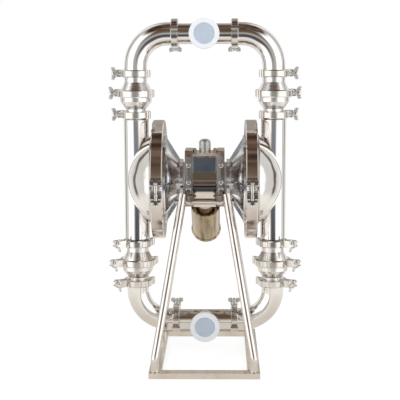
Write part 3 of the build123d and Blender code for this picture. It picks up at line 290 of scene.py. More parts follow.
@dataclass(frozen=True)
class Plastic:
    """Moulded plastic or dull packing: a soft sheen over a faint uneven texture."""

    name: str
    colour: str
    shade: str
    roughness: float = 0.35
    clouds_mm: float = 20.0
    bump_mm: float = 0.05

    def build(self) -> bpy.types.Material:
        """Make the material: two close tones in clouds and a slight bump.

        Returns:
            The new material.
        """
        material = bpy.data.materials.new(self.name)
        material.use_nodes = True
        tree = material.node_tree
        shader = tree.nodes["Principled BSDF"]
        shader.inputs["Roughness"].default_value = self.roughness
        shader.inputs["IOR"].default_value = PLASTIC_IOR
        place = add_node(tree, "ShaderNodeTexCoord").outputs["Object"]
        clouds = add_node(
            tree,
            "ShaderNodeTexNoise",
            {"Vector": place, "Scale": 1 / (self.clouds_mm * MM), "Detail": 4.0},
        ).outputs["Fac"]
        tint = add_node(
            tree,
            "ShaderNodeMix",
            {FACTOR: clouds, FIRST: hex_colour(self.colour), SECOND: hex_colour(self.shade)},
            data_type="RGBA",
        )
        tree.links.new(tint.outputs[MIXED], shader.inputs["Base Color"])
        ripple = add_node(
            tree, "ShaderNodeBump", {"Height": clouds, "Distance": self.bump_mm * MM, "Strength": 0.5}
        )
        tree.links.new(ripple.outputs["Normal"], shader.inputs["Normal"])
        return material


Finish = Stainless | Plastic

# Electropolished tube and pressings: a mirror that keeps only a faint ripple from the buffing wheel.
MIRROR_TUBE = Stainless("mirror_polished_stainless_tube", Polish.MIRROR)
# Investment cast clamps, tumbled and polished: bright, with the casting's fine pitting under the gloss.
CAST_CLAMP = Stainless(
    "polished_cast_stainless", Polish.CAST, colour="#e6e2dd", stain="#a8988a", grain_mm=2.5
)
# Turned and machined pieces: bright, with a fine uneven gloss from the tool.
TURNED = Stainless("turned_stainless", Polish.BRIGHT, colour="#e4dfda", stain="#b5a494", grain_mm=3.0)
# Heavy band clamps, ground and then buffed: a touch warmer and softer than the tubes.
BAND = Stainless("buffed_stainless_band", Polish.BRIGHT, colour="#e3ddd8", stain="#b3a294", grain_mm=8.0)
# Valve body, with the brownish cast of a polished casting.
BLOCK = Stainless(
    "polished_cast_stainless_block", Polish.BRIGHT, colour="#ddd6cf", stain="#a39080", grain_mm=5.0
)
# Front casting: painted reflection and shade in level bands on its front, a brown band above the rib and a
# dark band at the rib.
CASTING = Stainless(
    "stainless_casting_painted_reflection_bands",
    Polish.BRIGHT,
    colour="#ddd6cf",
    stain="#a39080",
    grain_mm=5.0,
    # Painted reflection: the brown band above the rib. Painted shade: the dark band at the rib.
    bands=((469.0, 490.0, "#b79c80"), (441.0, 459.0, "#4b4d54")),
)
# Side plates, ground upright: brown patches run with the grain of the grinding.
SIDE_PLATE = Stainless(
    "upright_ground_stainless_plate",
    Polish.SATIN,
    colour="#efe6dd",
    stain="#7d6656",
    stain_share=0.9,
    grain_mm=1.5,
    clouds_mm=16.0,
    streak=(1.0, 1.0, 0.15),
)
# Valve cover, lapped flat: cooler and smoother than the casting round it.
COVER = Stainless(
    "lapped_stainless_cover", Polish.MIRROR, colour="#9c9fa5", stain="#63676f", stain_share=0.7
)
# Spun air chambers, polished but a little wavy from the spinning tool.
SPUN = Stainless(
    "spun_stainless_chamber", Polish.CAST, colour="#f3f4f6", stain="#d6d9de", stain_share=0.4
)
# Check valve bodies, turned and brushed round: softer than the tubes, with level lines from the tool.
VALVE = Stainless(
    "turned_stainless_valve_body",
    Polish.BRUSHED,
    colour="#f1f0ee",
    stain="#d2cac1",
    grain_mm=4.0,
    clouds_mm=30.0,
    streak=(0.12, 0.12, 1.0),
)
# Air inlet, bead blasted: an even soft grey.
BLASTED = Stainless(
    "bead_blasted_stainless_inlet", Polish.MATT, colour="#cfcecb", stain="#a8a49e", grain_mm=1.0
)
# Tumbled wing nuts: an even pale grey without sharp reflections.
WING = Stainless(
    "tumbled_stainless_wing_nut", Polish.MATT, colour="#f2f4f6", stain="#d2d3d4", grain_mm=6.0
)
# Round tube of the legs, polished: a touch warmer than the tubes of the pump.
LEG_TUBE = Stainless("polished_stainless_leg_tube", Polish.BRIGHT, colour="#eae6e2", stain="#b9a794")
# Flat frame rails, brushed to a satin, with patches of heat tint from welding.
FRAME = Stainless(
    "brushed_stainless_frame", Polish.SATIN, colour="#f0ebe4", stain="#bfa98f", stain_share=0.4
)
# Lacquered muffler shell: khaki brown, its darker streaks running down the slope of the can.
MUFFLER = Stainless(
    "bronze_lacquered_muffler",
    Polish.BRIGHT,
    colour="#b7a68a",
    stain="#5e4f3a",
    stain_share=0.95,
    grain_mm=2.0,
    clouds_mm=14.0,
    streak=(1.0, 0.12, 1.0),
    lean=34.0,
)
# Knitted packing behind the muffler's mouth, coloured near black as painted shade inside the can over the
# packing's own dull tone.
PACKING = Plastic("exhaust_packing_painted_shade", "#3c342b", "#1c1712", roughness=0.9, clouds_mm=3.0)
# Virgin PTFE: waxy white.
PTFE = Plastic("white_ptfe", "#efeeea", "#dddbd4", roughness=0.45)
# Polyethylene cap: milky white with a soft gloss.
MILKY = Plastic("milky_polyethylene", "#eef1f3", "#e4e8ec", roughness=0.38)
# Thin middle of the cap, where the dark bore behind it shows through as a cool grey.
CAP_SKIN = Plastic("thin_polyethylene_skin", "#bdc8d4", "#b2becc", roughness=0.42)
# Weld beads, left as laid: brown heat tint over a dull rippled surface.
WELD = Stainless("heat_tinted_weld_bead", Polish.SATIN, colour="#c3b39e", stain="#86694c", stain_share=0.8)
# Dull olive passivation on the left vent plug.
OLIVE = Stainless("olive_passivated_plug", Polish.SATIN, colour="#a09e86", stain="#6d6c58")
# Worn copper plating on the right vent plug.
COPPER = Stainless("copper_plated_plug", Polish.SATIN, colour="#b89a88", stain="#8a6a58")

NODE_FINISH: dict[str, Finish] = {
    "air_chamber_left": SPUN,
    "air_chamber_right": SPUN,
    "air_inlet_fitting": BLASTED,
    "air_valve_body": BLOCK,
    "air_valve_cover": COVER,
    "band_clamp_fasteners": TURNED,
    "band_clamp_left": BAND,
    "band_clamp_right": BAND,
    "base_frame": FRAME,
    "center_block": CASTING,
    "clamp_pins": TURNED,
    "diaphragm_left": PTFE,
    "diaphragm_right": PTFE,
    "diaphragm_shaft": TURNED,
    "discharge_cap": MILKY,
    "suction_cap": MILKY,
    "discharge_tee": MIRROR_TUBE,
    "suction_tee": MIRROR_TUBE,
    "elbows": MIRROR_TUBE,
    "fluid_chamber_left": MIRROR_TUBE,
    "fluid_chamber_right": MIRROR_TUBE,
    "gaskets": PTFE,
    "inner_plates": TURNED,
    "leg_bolts": TURNED,
    "muffler_can": MUFFLER,
    "muffler_neck": TURNED,
    "muffler_packing": PACKING,
    "outer_plates": MIRROR_TUBE,
    "shaft_bushes": PTFE,
    "side_plates": SIDE_PLATE,
    "support_legs": LEG_TUBE,
    "swing_bolts": TURNED,
    "tube_clamps": CAST_CLAMP,
    "valve_bowls": VALVE,
    "valve_end_plugs": TURNED,
    "valve_seats": PTFE,
    "valve_spool": TURNED,
    "valve_tops": VALVE,
    "vent_plug_left": OLIVE,
    "vent_plug_right": COPPER,
}
PREFIX_FINISH: dict[str, Finish] = {NUT_NAME: WING, "discharge_ball_": PTFE, "suction_ball_": PTFE}


def finish_of(node: str) -> Finish:
    """Finish of a CAD node, by its name or by the start of its name."""
    if node in NODE_FINISH:
        return NODE_FINISH[node]
    return next(finish for start, finish in PREFIX_FINISH.items() if node.startswith(start))


@dataclass
class Dresser:
    """Gives every CAD node its material, made once for each finish."""

    nodes: dict[str, bpy.types.Object]
    made: dict[str, bpy.types.Material] = field(default_factory=dict)

    def material(self, finish: Finish) -> bpy.types.Material:
        """Material of a finish, made the first time it is asked for.

        Args:
            finish: Finish that gives the material.

        Returns:
            The material.
        """
        if finish.name not in self.made:
            self.made[finish.name] = finish.build()
        return self.made[finish.name]

    def dress(self) -> None:
        """Put the right material on every node."""
        for name, piece in self.nodes.items():
            finish = finish_of(name)
            piece.data.materials.clear()
            piece.data.materials.append(self.material(finish))
            LOG.info("%s: %s", name, finish.name)


# ------------------------------------------------------------------------------------- added pieces
def break_edges(
    form: bmesh.types.BMesh, edges: Sequence[bmesh.types.BMEdge], offset: float, segments: int = 3
) -> None:
    """Round off some edges of a form.

    Args:
        form: The form.
        edges: Those of its edges that are rounded.
        offset: How far the rounding reaches.
        segments: Steps across the rounding.
    """
    bmesh.ops.bevel(
        form, geom=edges, offset=offset, segments=segments, affect="EDGES", profile=0.5, material=-1
    )


def level_edges(form: bmesh.types.BMesh) -> list[bmesh.types.BMEdge]:
    """Edges of a form that lie level, such as the rims of a drum."""
    return [edge for edge in form.edges if abs(edge.verts[0].co.z - edge.verts[1].co.z) < MM]


def drum(radius: float, depth: float, segments: int, crown: float = 1.0) -> bmesh.types.BMesh:
    """Closed drum round Z, with its middle at the origin.

    Args:
        radius: Radius of its lower end.
        depth: Length of the drum.
        segments: Sides once round.
        crown: Radius of its upper end, as a share of the lower one.

    Returns:
        The new form.
    """
    form = bmesh.new()
    bmesh.ops.create_cone(
        form, cap_ends=True, segments=segments, radius1=radius, radius2=radius * crown, depth=depth
    )
    return form


def bead_ring(radius: float, bead: float, sides: int = 12, steps: int = 72) -> bmesh.types.BMesh:
    """Ring round Z at height 0, with a round or polygonal section.

    Args:
        radius: Radius of the ring's middle line.
        bead: Radius of its section.
        sides: Sides of the section; four make a sharp crest.
        steps: Steps once round.

    Returns:
        A closed form, to be placed and then added.
    """
    form = bmesh.new()
    section = bmesh.ops.create_circle(form, segments=sides, radius=bead)["verts"]
    turn = Matrix.Rotation(math.pi / 2, 4, "X")
    bmesh.ops.transform(form, matrix=Matrix.Translation(ACROSS * radius) @ turn, verts=section)
    bmesh.ops.spin(
        form,
        geom=form.verts[:] + form.edges[:],
        axis=UP,
        cent=Vector((0.0, 0.0, 0.0)),
        steps=steps,
        angle=2 * math.pi,
        use_merge=True,
    )
    return form


def gather(parts: Sequence[bmesh.types.BMesh], places: Sequence[Matrix]) -> bmesh.types.BMesh:
    """Put several forms into one, each moved to its own place.

    Args:
        parts: The forms, which are freed.
        places: One matrix for each form.

    Returns:
        The joined form.
    """
    whole = bmesh.new()
    for part, place in zip(parts, places):
        bmesh.ops.transform(part, matrix=place, verts=part.verts)
        held = bpy.data.meshes.new("held")
        part.to_mesh(held)
        part.free()
        whole.from_mesh(held)
        bpy.data.meshes.remove(held)
    return whole


def facing(point: Vector, way: Vector) -> Matrix:
    """Matrix that puts a form made round Z at a point, with its Z along a given way."""
    return Matrix.Translation(point) @ way.to_track_quat("Z", "Y").to_matrix().to_4x4()


def nut_joints(record: dict) -> Iterator[dict]:
    """Joints of the record that spin a wing nut."""
    return (joint for joint in record["behaviour"]["joints"] if joint["name"].startswith(NUT_NAME))


@dataclass
class Pieces:
    """Pieces made here on top of the frame, each riding on its body."""

    dresser: Dresser

    def add(self, name: str, form: bmesh.types.BMesh, finish: Finish, body: str, slot: str) -> None:
        """Turn a form into a dressed object that rides on a body.

        Args:
            name: Name of the new object.
            form: Its faces, in the frame's own place; it is freed here.
            finish: Finish that gives the material.
            body: Frame body it rides on.
            slot: Material slot of the record; not used.
        """
        bmesh.ops.recalc_face_normals(form, faces=form.faces)
        mesh = bpy.data.meshes.new(name)
        form.to_mesh(mesh)
        form.free()
        for face in mesh.polygons:
            face.use_smooth = True
        mesh.set_sharp_from_angle(angle=SHARP_ANGLE)
        mesh.materials.append(self.dresser.material(finish))
        made = bpy.data.objects.new(name, mesh)
        bpy.context.collection.objects.link(made)
        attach(made, body)
        LOG.info("%s: %d faces on %s", name, len(mesh.polygons), body)


@dataclass
class CapSkin:
    """Thin sunk middle of a port cap, seen as a cool disc inside the milky rim."""

    pieces: Pieces
    radius: float = 25.2 * MM
    crown: float = 0.985
    segments: int = 96
    thick: float = 0.4 * MM
    recess: float = 3.1 * MM
    sunk: float = 0.25 * MM

    def build(self, kind: str) -> None:
        """Lay a slightly crowned disc on the floor of one cap's recess.

        Args:
            kind: Either suction or discharge.
        """
        low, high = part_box(f"{kind}_cap")
        middle = (low + high) / 2
        form = drum(self.radius, self.thick, self.segments, self.crown)
        floor = low.y + self.recess - self.sunk
        seat = Matrix.Translation(Vector((middle.x, floor + self.thick / 2, middle.z)))
        turn = Matrix.Rotation(math.pi / 2, 4, "X")
        bmesh.ops.transform(form, matrix=seat @ turn, verts=form.verts)
        self.pieces.add(f"{kind}_cap_skin", form, CAP_SKIN, f"{kind}_cap", "milky_plastic")


@dataclass
class SwingBoltThreads:
    """Thread crests on the tail of each clamp's swing bolt, past its wing nut."""

    pieces: Pieces
    record: dict
    root: float = 3.9 * MM
    crest: float = 0.45 * MM
    crest_sides: int = 4
    steps: int = 32
    pitch: float = 1.25 * MM
    start: float = 5.0 * MM
    turns: int = 4

    def build(self) -> None:
        """Add one ribbed tail for each wing nut's joint."""
        for joint in nut_joints(self.record):
            way = Vector(joint["axis"]).normalized()
            middle = Vector(joint["pos_m"])
            rings, places = [], []
            for turn in range(self.turns):
                rings.append(bead_ring(self.root, self.crest, self.crest_sides, self.steps))
                places.append(facing(middle + way * (self.start + turn * self.pitch), way))
            name = joint["child"].replace(NUT_NAME, "swing_bolt_thread_")
            self.pieces.add(name, gather(rings, places), TURNED, "pump", "polished_stainless")


@dataclass
class NutLeaves:
    """Thin web that fills each wing of a clamp's nut to a rounded leaf, clear of the swing bolt's tail."""

    pieces: Pieces
    record: dict
    reach: float = 15.8 * MM
    half_height: float = 7.5 * MM
    rise: float = 5.3 * MM
    clear: float = 5.2 * MM
    thick: float = 3.0 * MM
    edge: float = 0.9 * MM
    segments: int = 64

    def leaf(self) -> bmesh.types.BMesh:
        """Half an oval plate about Z, its straight side at a set distance from the Y axis.

        Returns:
            The new form, closed where it was cut.
        """
        form = drum(1.0, self.thick, self.segments)
        shape = Matrix.Diagonal(Vector((self.reach, self.half_height, 1.0, 1.0)))
        bmesh.ops.transform(form, matrix=shape, verts=form.verts)
        break_edges(form, level_edges(form), self.edge)
        bmesh.ops.bisect_plane(
            form,
            geom=form.verts[:] + form.edges[:] + form.faces[:],
            plane_co=ACROSS * self.clear,
            plane_no=ACROSS,
            clear_inner=True,
        )
        bmesh.ops.holes_fill(form, edges=[edge for edge in form.edges if edge.is_boundary])
        return form

    def build(self) -> None:
        """Add the two leaves of every wing nut, lined up with its wings."""
        half_turn = Matrix.Rotation(math.pi, 4, "Y")
        for joint in nut_joints(self.record):
            axis = Vector(joint["axis"]).normalized()
            wing = ACROSS if "_tee_" in joint["child"] else UP
            turn = Matrix((wing, axis, wing.cross(axis))).transposed().to_4x4()
            seat = Matrix.Translation(Vector(joint["pos_m"]) + axis * self.rise)
            form = gather([self.leaf(), self.leaf()], [seat @ turn, seat @ turn @ half_turn])
            name = joint["child"].replace(NUT_NAME, "nut_leaves_")
            self.pieces.add(name, form, WING, joint["child"], "polished_stainless")


@dataclass
class FootBar:
    """Half-round bar across the sloping foot of the front casting, where the lower cover is drawn up."""

    pieces: Pieces
    height: float = 417.0 * MM
    depth: float = 55.0 * MM
    radius: float = 10.0 * MM
    length: float = 55.0 * MM
    edge: float = 1.2 * MM
    segments: int = 64

    def build(self) -> None:
        """Add the bar, its ends broken."""
        form = drum(self.radius, self.length, self.segments)
        break_edges(form, level_edges(form), self.edge)
        seat = Matrix.Translation(FRONT * self.depth + UP * self.height)
        bmesh.ops.transform(form, matrix=seat @ Matrix.Rotation(math.pi / 2, 4, "Y"), verts=form.verts)
        self.pieces.add("foot_bar", form, TURNED, "pump", "satin_stainless")


@dataclass
class PlateBolts:
    """Hexagon bolts and washers in the front of the side plates, which pull the plates onto the block."""

    pieces: Pieces
    aside: float = 40.5 * MM
    face: float = -55.0 * MM
    heights: tuple[float, ...] = (507.0 * MM, 464.0 * MM, 446.0 * MM)
    washer: float = 7.6 * MM
    washer_segments: int = 48
    thick: float = 1.4 * MM
    sunk: float = 0.2 * MM
    corner: float = 6.6 * MM
    head: float = 4.2 * MM
    head_sides: int = 6
    broken: float = 0.12
    turn_step: float = math.radians(12)

    def hex_head(self) -> bmesh.types.BMesh:
        """Hexagon head round Z, standing on height 0, with its upper edges broken.

        Returns:
            The new form.
        """
        form = drum(self.corner, self.head, self.head_sides)
        bmesh.ops.translate(form, vec=UP * (self.head / 2), verts=form.verts)
        rim = [edge for edge in level_edges(form) if edge.verts[0].co.z > self.head / 2]
        break_edges(form, rim, self.corner * self.broken, segments=2)
        return form

    def build(self) -> None:
        """Add one bolt with its washer at each height of both plates."""
        for side, sign in (("left", -1), ("right", 1)):
            for rank, height in enumerate(self.heights, 1):
                seat = Vector((sign * self.aside, self.face + self.sunk, height))
                turn = Matrix.Rotation(self.turn_step * rank, 4, "Z")
                forms = [drum(self.washer, self.thick, self.washer_segments), self.hex_head()]
                places = [
                    facing(seat + FRONT * (self.thick / 2), FRONT),
                    facing(seat + FRONT * self.thick, FRONT) @ turn,
                ]
                name = f"plate_bolt_{side}_{rank}"
                self.pieces.add(name, gather(forms, places), TURNED, "pump", "satin_stainless")


@dataclass
class FrameWelds:
    """Weld beads of the stand: a ring round each leg's foot and a mitre bead at each corner."""

    pieces: Pieces
    rail: float = 30.0 * MM
    leg_radius: float = 10.0 * MM
    bead: float = 1.3 * MM
    bead_sides: int = 12
    flatness: float = 0.45

    def build(self) -> None:
        """Add the ring and mitre beads of all four corners."""
        _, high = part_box("base_frame")
        inset = self.rail / 2
        for side_x, across in ((-1, "left"), (1, "right")):
            for side_y, along in ((-1, "front"), (1, "back")):
                foot = Vector((side_x * (high.x - inset), side_y * (high.y - inset), high.z))
                ring = bead_ring(self.leg_radius, self.bead)
                bmesh.ops.translate(ring, vec=foot, verts=ring.verts)
                self.pieces.add(f"leg_weld_{across}_{along}", ring, WELD, "pump", "satin_stainless")
                self.mitre(f"{across}_{along}", foot, Vector((side_x, side_y, 0.0)).normalized())

    def mitre(self, corner: str, middle: Vector, way: Vector) -> None:
        """Lay a low bead across one corner of the base frame, in two runs beside the leg.

        Args:
            corner: Name of the corner.
            middle: Where the leg stands.
            way: Diagonal way out of the frame, one metre long.
        """
        half_diagonal = math.hypot(self.rail, self.rail) / 2
        reach, gap = half_diagonal - self.bead, self.leg_radius + self.bead
        low = Matrix.Diagonal(Vector((self.flatness, 1.0, 1.0, 1.0)))
        runs = [drum(self.bead, reach - gap, self.bead_sides) for _ in range(2)]
        places = [facing(middle + way * (sign * (reach + gap) / 2), way) @ low for sign in (-1, 1)]
        self.pieces.add(f"mitre_weld_{corner}", gather(runs, places), WELD, "pump", "warm_steel")


# ------------------------------------------------------------------------------------------- studio
@dataclass
class Camera:
    """Camera in front of the pump, slightly above it and a touch to its right."""

    lens: float = 94.5
    distance: float = 2.669
    height: float = 0.805
    aside: float = -0.0116
    pitch: float = 8.4
    yaw: float = 1.1
    roll: float = 0.2

    def build(self) -> None:
        """Place the camera and make it the scene's own."""
        data = bpy.data.cameras.new("camera")
        data.lens = self.lens
        camera = bpy.data.objects.new("camera", data)
        turn = Matrix.Rotation(math.radians(self.yaw), 4, "Z")
        camera.location = turn @ Vector((self.aside, -self.distance, self.height))
        level = math.radians(QUARTER_TURN - self.pitch)
        tilt = Euler((level, math.radians(self.roll), 0.0)).to_matrix().to_4x4()
        camera.rotation_euler = (turn @ tilt).to_euler()
        bpy.context.collection.objects.link(camera)
        bpy.context.scene.camera = camera


@dataclass
class Cyclorama:
    """White walls with two tall soft boxes and a dark door each side, a ceiling and the camera's gap.

    The stops of the walls are in degrees away from the camera, those of the gap in degrees over the horizon.
    """

    gain: float = 1.45
    gap_edges: tuple[float, float] = (14.0, 34.0)
    walls: Stops = (
        (0.0, WHITE),
        (78.0, WHITE),
        (86.0, "#bcbbb9"),
        (110.0, "#bcbbb9"),
        (113.0, "#605b56"),
        (120.0, "#605b56"),
        (124.0, "#bcbbb9"),
        (152.0, "#d8d7d5"),
        (166.0, "#a5a19d"),
        (180.0, "#8a8682"),
    )
    gap: Stops = (
        (-90.0, "#45474c"),
        (-9.8, "#45474c"),
        (-8.6, "#53565b"),
        (-7.2, "#6e7278"),
        (-4.5, "#6e7278"),
        (-1.0, "#9b9993"),
        (6.0, "#9b9993"),
        (14.0, "#655a4e"),
        (26.0, "#584a3f"),
        (60.0, "#33261e"),
        (90.0, "#33261e"),
    )
    fold_scale: float = 4.5
    fold_depth: float = 0.035
    ceiling: str = "#33261e"
    ceiling_lit: str = "#6c5a4f"
    ceiling_lean: float = -0.27
    ceiling_edges: tuple[float, float] = (0.72, 0.90)
    cloud_scale: float = 5.0
    cloud_edges: tuple[float, float] = (0.45, 0.65)
    diffuse: str = "#bcbcbe"

    def azimuth(
        self, tree: bpy.types.NodeTree, way: bpy.types.NodeSocket, axes: bpy.types.Node
    ) -> bpy.types.NodeSocket:
        """Turn away from the camera, with the gentle folds of cloth walls.

        Args:
            tree: Node tree of the world.
            way: Way that is looked.
            axes: Node that splits it by axis.

        Returns:
            Share of a half turn, the same to the left and to the right.
        """
        ahead = axes.outputs["Y"]
        toward = add_node(tree, "ShaderNodeMath", {0: ahead, 1: -1.0}, operation="MULTIPLY").outputs[0]
        turn = add_node(
            tree, "ShaderNodeMath", {0: axes.outputs["X"], 1: toward}, operation="ARCTAN2"
        ).outputs[0]
        aside = add_node(tree, "ShaderNodeMath", {0: turn}, operation="ABSOLUTE").outputs[0]
        share = add_node(tree, "ShaderNodeMath", {0: aside, 1: math.pi}, operation="DIVIDE").outputs[0]
        folds = add_node(
            tree, "ShaderNodeTexNoise", {"Vector": way, "Scale": self.fold_scale, "Detail": 1.0}
        ).outputs["Fac"]
        shift = add_node(
            tree,
            "ShaderNodeMapRange",
            {"Value": folds, "To Min": -self.fold_depth, "To Max": self.fold_depth},
        ).outputs["Result"]
        return add_node(tree, "ShaderNodeMath", {0: share, 1: shift}, operation="ADD").outputs[0]

    def round_about(
        self, tree: bpy.types.NodeTree, way: bpy.types.NodeSocket, axes: bpy.types.Node
    ) -> bpy.types.NodeSocket:
        """Colour of everything below the ceiling: the walls, and the camera's gap between the boxes.

        Args:
            tree: Node tree of the world.
            way: Way that is looked.
            axes: Node that splits it by axis.

        Returns:
            The colour.
        """
        azimuth = self.azimuth(tree, way, axes)
        rise = add_node(tree, "ShaderNodeMath", {0: axes.outputs["Z"]}, operation="ARCSINE").outputs[0]
        elevation = add_node(
            tree, "ShaderNodeMapRange", {"Value": rise, "From Min": -math.pi / 2, "From Max": math.pi / 2}
        ).outputs["Result"]
        walls = set_ramp(
            add_node(tree, "ShaderNodeValToRGB", {"Fac": azimuth}),
            [(degrees / HALF_TURN, hex_colour(code)) for degrees, code in self.walls],
        )
        gap = set_ramp(
            add_node(tree, "ShaderNodeValToRGB", {"Fac": elevation}),
            [((degrees + QUARTER_TURN) / HALF_TURN, hex_colour(code)) for degrees, code in self.gap],
        )
        start, end = self.gap_edges
        share = add_node(
            tree,
            "ShaderNodeMapRange",
            {
                "Value": azimuth,
                "From Min": start / HALF_TURN,
                "From Max": end / HALF_TURN,
                "To Min": 1.0,
                "To Max": 0.0,
            },
            interpolation_type="SMOOTHSTEP",
        ).outputs["Result"]
        return add_node(
            tree, "ShaderNodeMix", {FACTOR: share, FIRST: walls, SECOND: gap}, data_type="RGBA"
        ).outputs[MIXED]

    def overhead(
        self,
        tree: bpy.types.NodeTree,
        way: bpy.types.NodeSocket,
        axes: bpy.types.Node,
        below: bpy.types.NodeSocket,
    ) -> bpy.types.NodeSocket:
        """Close the walls with the ceiling, which comes down over the camera and has paler clouds.

        Args:
            tree: Node tree of the world.
            way: Way that is looked.
            axes: Node that splits it by axis.
            below: Colour of everything below the ceiling.

        Returns:
            The colour of the whole cyclorama.
        """
        lean = add_node(
            tree, "ShaderNodeMath", {0: axes.outputs["Y"], 1: self.ceiling_lean}, operation="MULTIPLY"
        ).outputs[0]
        over = add_node(
            tree, "ShaderNodeMath", {0: axes.outputs["Z"], 1: lean}, operation="ADD"
        ).outputs[0]
        start, full = self.ceiling_edges
        cover = add_node(
            tree,
            "ShaderNodeMapRange",
            {"Value": over, "From Min": start, "From Max": full},
            interpolation_type="SMOOTHSTEP",
        ).outputs["Result"]
        clouds = add_node(
            tree, "ShaderNodeTexNoise", {"Vector": way, "Scale": self.cloud_scale, "Detail": 2.0}
        ).outputs["Fac"]
        dark, pale = self.cloud_edges
        lit = add_node(
            tree, "ShaderNodeMapRange", {"Value": clouds, "From Min": dark, "From Max": pale}
        ).outputs["Result"]
        ceiling = add_node(
            tree,
            "ShaderNodeMix",
            {FACTOR: lit, FIRST: hex_colour(self.ceiling), SECOND: hex_colour(self.ceiling_lit)},
            data_type="RGBA",
        ).outputs[MIXED]
        return add_node(
            tree, "ShaderNodeMix", {FACTOR: cover, FIRST: below, SECOND: ceiling}, data_type="RGBA"
        ).outputs[MIXED]

    def build(self) -> None:
        """Build the world that the metal reflects; the camera itself sees plain white."""
        world = bpy.data.worlds.new("studio")
        bpy.context.scene.world = world
        world.use_nodes = True
        tree = world.node_tree
        background = tree.nodes["Background"]
        way = add_node(tree, "ShaderNodeTexCoord").outputs["Generated"]
        axes = add_node(tree, "ShaderNodeSeparateXYZ", {"Vector": way})
        seen = self.overhead(tree, way, axes, self.round_about(tree, way, axes))
        rays = add_node(tree, "ShaderNodeLightPath").outputs
        soft = add_node(
            tree,
            "ShaderNodeMix",
            {FACTOR: rays["Is Diffuse Ray"], FIRST: seen, SECOND: hex_colour(self.diffuse)},
            data_type="RGBA",
        ).outputs[MIXED]
        shown = add_node(
            tree,
            "ShaderNodeMix",
            {FACTOR: rays["Is Camera Ray"], FIRST: soft, SECOND: hex_colour(WHITE)},
            data_type="RGBA",
        ).outputs[MIXED]
        tree.links.new(shown, background.inputs["Color"])
        strength = add_node(
            tree,
            "ShaderNodeMapRange",
            {"Value": rays["Is Camera Ray"], "To Min": self.gain, "To Max": 1.0},
        ).outputs["Result"]
        tree.links.new(strength, background.inputs["Strength"])


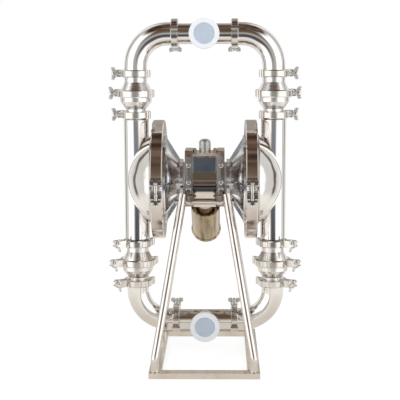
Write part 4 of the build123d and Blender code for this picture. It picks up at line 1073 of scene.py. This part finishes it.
@dataclass
class Floor:
    """Pale floor, and under it a lit patch that only the metal sees, darker near the pump as a painted
    shadow.
    """

    half: float = 6.0
    tone: str = "#f4f4f4"
    roughness: float = 0.9
    glow: float = 1.12
    glow_share: float = 0.75
    patch_drop: float = 1.0 * MM
    patch_glow: float = 1.15
    patch_fade: tuple[float, float] = (0.85, 1.5)
    # Painted shadow: from patch_near to patch_far metres out the patch goes from its shadow tone to its
    # clear tone, the pump's shadow on the floor painted in for the metal to reflect.
    patch_near: float = 0.25
    patch_far: float = 0.75
    patch_painted_shadow_tone: str = "#cdc6bc"
    patch_unshadowed_tone: str = "#ece8e2"

    def plane(self, name: str, height: float, material: bpy.types.Material) -> bpy.types.Object:
        """Level square that isn't part of the pump.

        Args:
            name: Name of the object.
            height: Height of its faces in metres.
            material: Its material.

        Returns:
            The new object.
        """
        form = bmesh.new()
        grid = bmesh.ops.create_grid(form, x_segments=1, y_segments=1, size=self.half)
        bmesh.ops.translate(form, vec=UP * height, verts=grid["verts"])
        mesh = bpy.data.meshes.new(name)
        form.to_mesh(mesh)
        form.free()
        mesh.materials.append(material)
        made = bpy.data.objects.new(name, mesh)
        bpy.context.collection.objects.link(made)
        return made

    def pale(self) -> bpy.types.Material:
        """Make the pale material: it keeps a soft shadow and stays near white to the camera.

        Returns:
            The new material.
        """
        material = bpy.data.materials.new("pale_floor")
        material.use_nodes = True
        tree = material.node_tree
        shader = tree.nodes["Principled BSDF"]
        shader.inputs["Base Color"].default_value = hex_colour(self.tone)
        shader.inputs["Roughness"].default_value = self.roughness
        seen = add_node(tree, "ShaderNodeLightPath").outputs["Is Camera Ray"]
        glow = add_node(
            tree, "ShaderNodeEmission", {"Color": hex_colour(WHITE), "Strength": self.glow}
        ).outputs[0]
        share = add_node(
            tree, "ShaderNodeMath", {0: seen, 1: self.glow_share}, operation="MULTIPLY"
        ).outputs[0]
        mixed = add_node(tree, "ShaderNodeMixShader", {0: share, 1: shader.outputs[0], 2: glow}).outputs[0]
        tree.links.new(mixed, tree.nodes["Material Output"].inputs["Surface"])
        return material

    def lit_patch(self) -> bpy.types.Material:
        """Make the material of the lit patch, which fades out all round the pump and darkens towards it as a
        painted shadow.

        Returns:
            The new material.
        """
        material = bpy.data.materials.new("lit_floor_patch")
        material.use_nodes = True
        tree = material.node_tree
        place = add_node(tree, "ShaderNodeTexCoord").outputs["Object"]
        away = add_node(tree, "ShaderNodeVectorMath", {0: place}, operation="LENGTH").outputs["Value"]
        start, end = self.patch_fade
        fade = add_node(
            tree,
            "ShaderNodeMapRange",
            {"Value": away, "From Min": start, "From Max": end, "To Min": 1.0, "To Max": 0.0},
            interpolation_type="SMOOTHSTEP",
        ).outputs["Result"]
        # Painted shadow: darker near the pump, lighter further out.
        shade = add_node(
            tree,
            "ShaderNodeMapRange",
            {"Value": away, "From Min": self.patch_near, "From Max": self.patch_far},
        ).outputs["Result"]
        near, far = hex_colour(self.patch_painted_shadow_tone), hex_colour(self.patch_unshadowed_tone)
        tone = add_node(
            tree, "ShaderNodeMix", {FACTOR: shade, FIRST: near, SECOND: far}, data_type="RGBA"
        ).outputs[MIXED]
        glow = add_node(
            tree, "ShaderNodeEmission", {"Color": tone, "Strength": self.patch_glow}
        ).outputs[0]
        clear = add_node(tree, "ShaderNodeBsdfTransparent").outputs[0]
        mixed = add_node(tree, "ShaderNodeMixShader", {0: fade, 1: clear, 2: glow}).outputs[0]
        tree.links.new(mixed, tree.nodes["Material Output"].inputs["Surface"])
        return material

    def build(self) -> None:
        """Lay the floor and its patch, each hidden from the rays that it isn't for."""
        floor = self.plane("floor", 0.0, self.pale())
        floor.visible_glossy = False
        patch = self.plane("floor_reflection", -self.patch_drop, self.lit_patch())
        patch.visible_camera = False
        patch.visible_diffuse = False
        patch.visible_shadow = False
        patch.visible_transmission = False


@dataclass(frozen=True)
class Lamp:
    """Round soft lamp that gives matt pieces form and a shadow, and that the metal doesn't see."""

    name: str
    place: tuple[float, float, float]
    power: float
    size: float = 1.2
    aim_height: float = 0.45

    def build(self) -> None:
        """Hang the lamp and aim it at the pump's middle."""
        data = bpy.data.lights.new(self.name, "AREA")
        data.shape = "DISK"
        data.size = self.size
        data.energy = self.power
        lamp = bpy.data.objects.new(self.name, data)
        lamp.location = self.place
        aim = UP * self.aim_height - lamp.location
        lamp.rotation_euler = aim.to_track_quat("-Z", "Y").to_euler()
        lamp.visible_glossy = False
        bpy.context.collection.objects.link(lamp)


@dataclass
class Studio:
    """Cyclorama, floor and two soft lamps round the pump."""

    cyclorama: Cyclorama = field(default_factory=Cyclorama)
    floor: Floor = field(default_factory=Floor)
    lamps: tuple[Lamp, ...] = (
        Lamp("key", (-1.6, -1.9, 2.2), 22.0),
        Lamp("fill", (1.9, -1.6, 1.5), 14.0),
    )

    def build(self) -> None:
        """Build everything round the pump, shown without a film curve."""
        self.cyclorama.build()
        self.floor.build()
        for lamp in self.lamps:
            lamp.build()
        bpy.context.scene.view_settings.view_transform = "Standard"


def main() -> None:
    """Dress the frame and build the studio."""
    logging.basicConfig(level=logging.INFO, format="%(name)s: %(message)s")
    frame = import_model()
    dresser = Dresser(frame["nodes"])
    dresser.dress()
    pieces = Pieces(dresser)
    for kind in ("suction", "discharge"):
        CapSkin(pieces).build(kind)
    SwingBoltThreads(pieces, frame["record"]).build()
    NutLeaves(pieces, frame["record"]).build()
    FootBar(pieces).build()
    PlateBolts(pieces).build()
    FrameWelds(pieces).build()
    Camera().build()
    Studio().build()


if __name__ == "__main__":
    main()
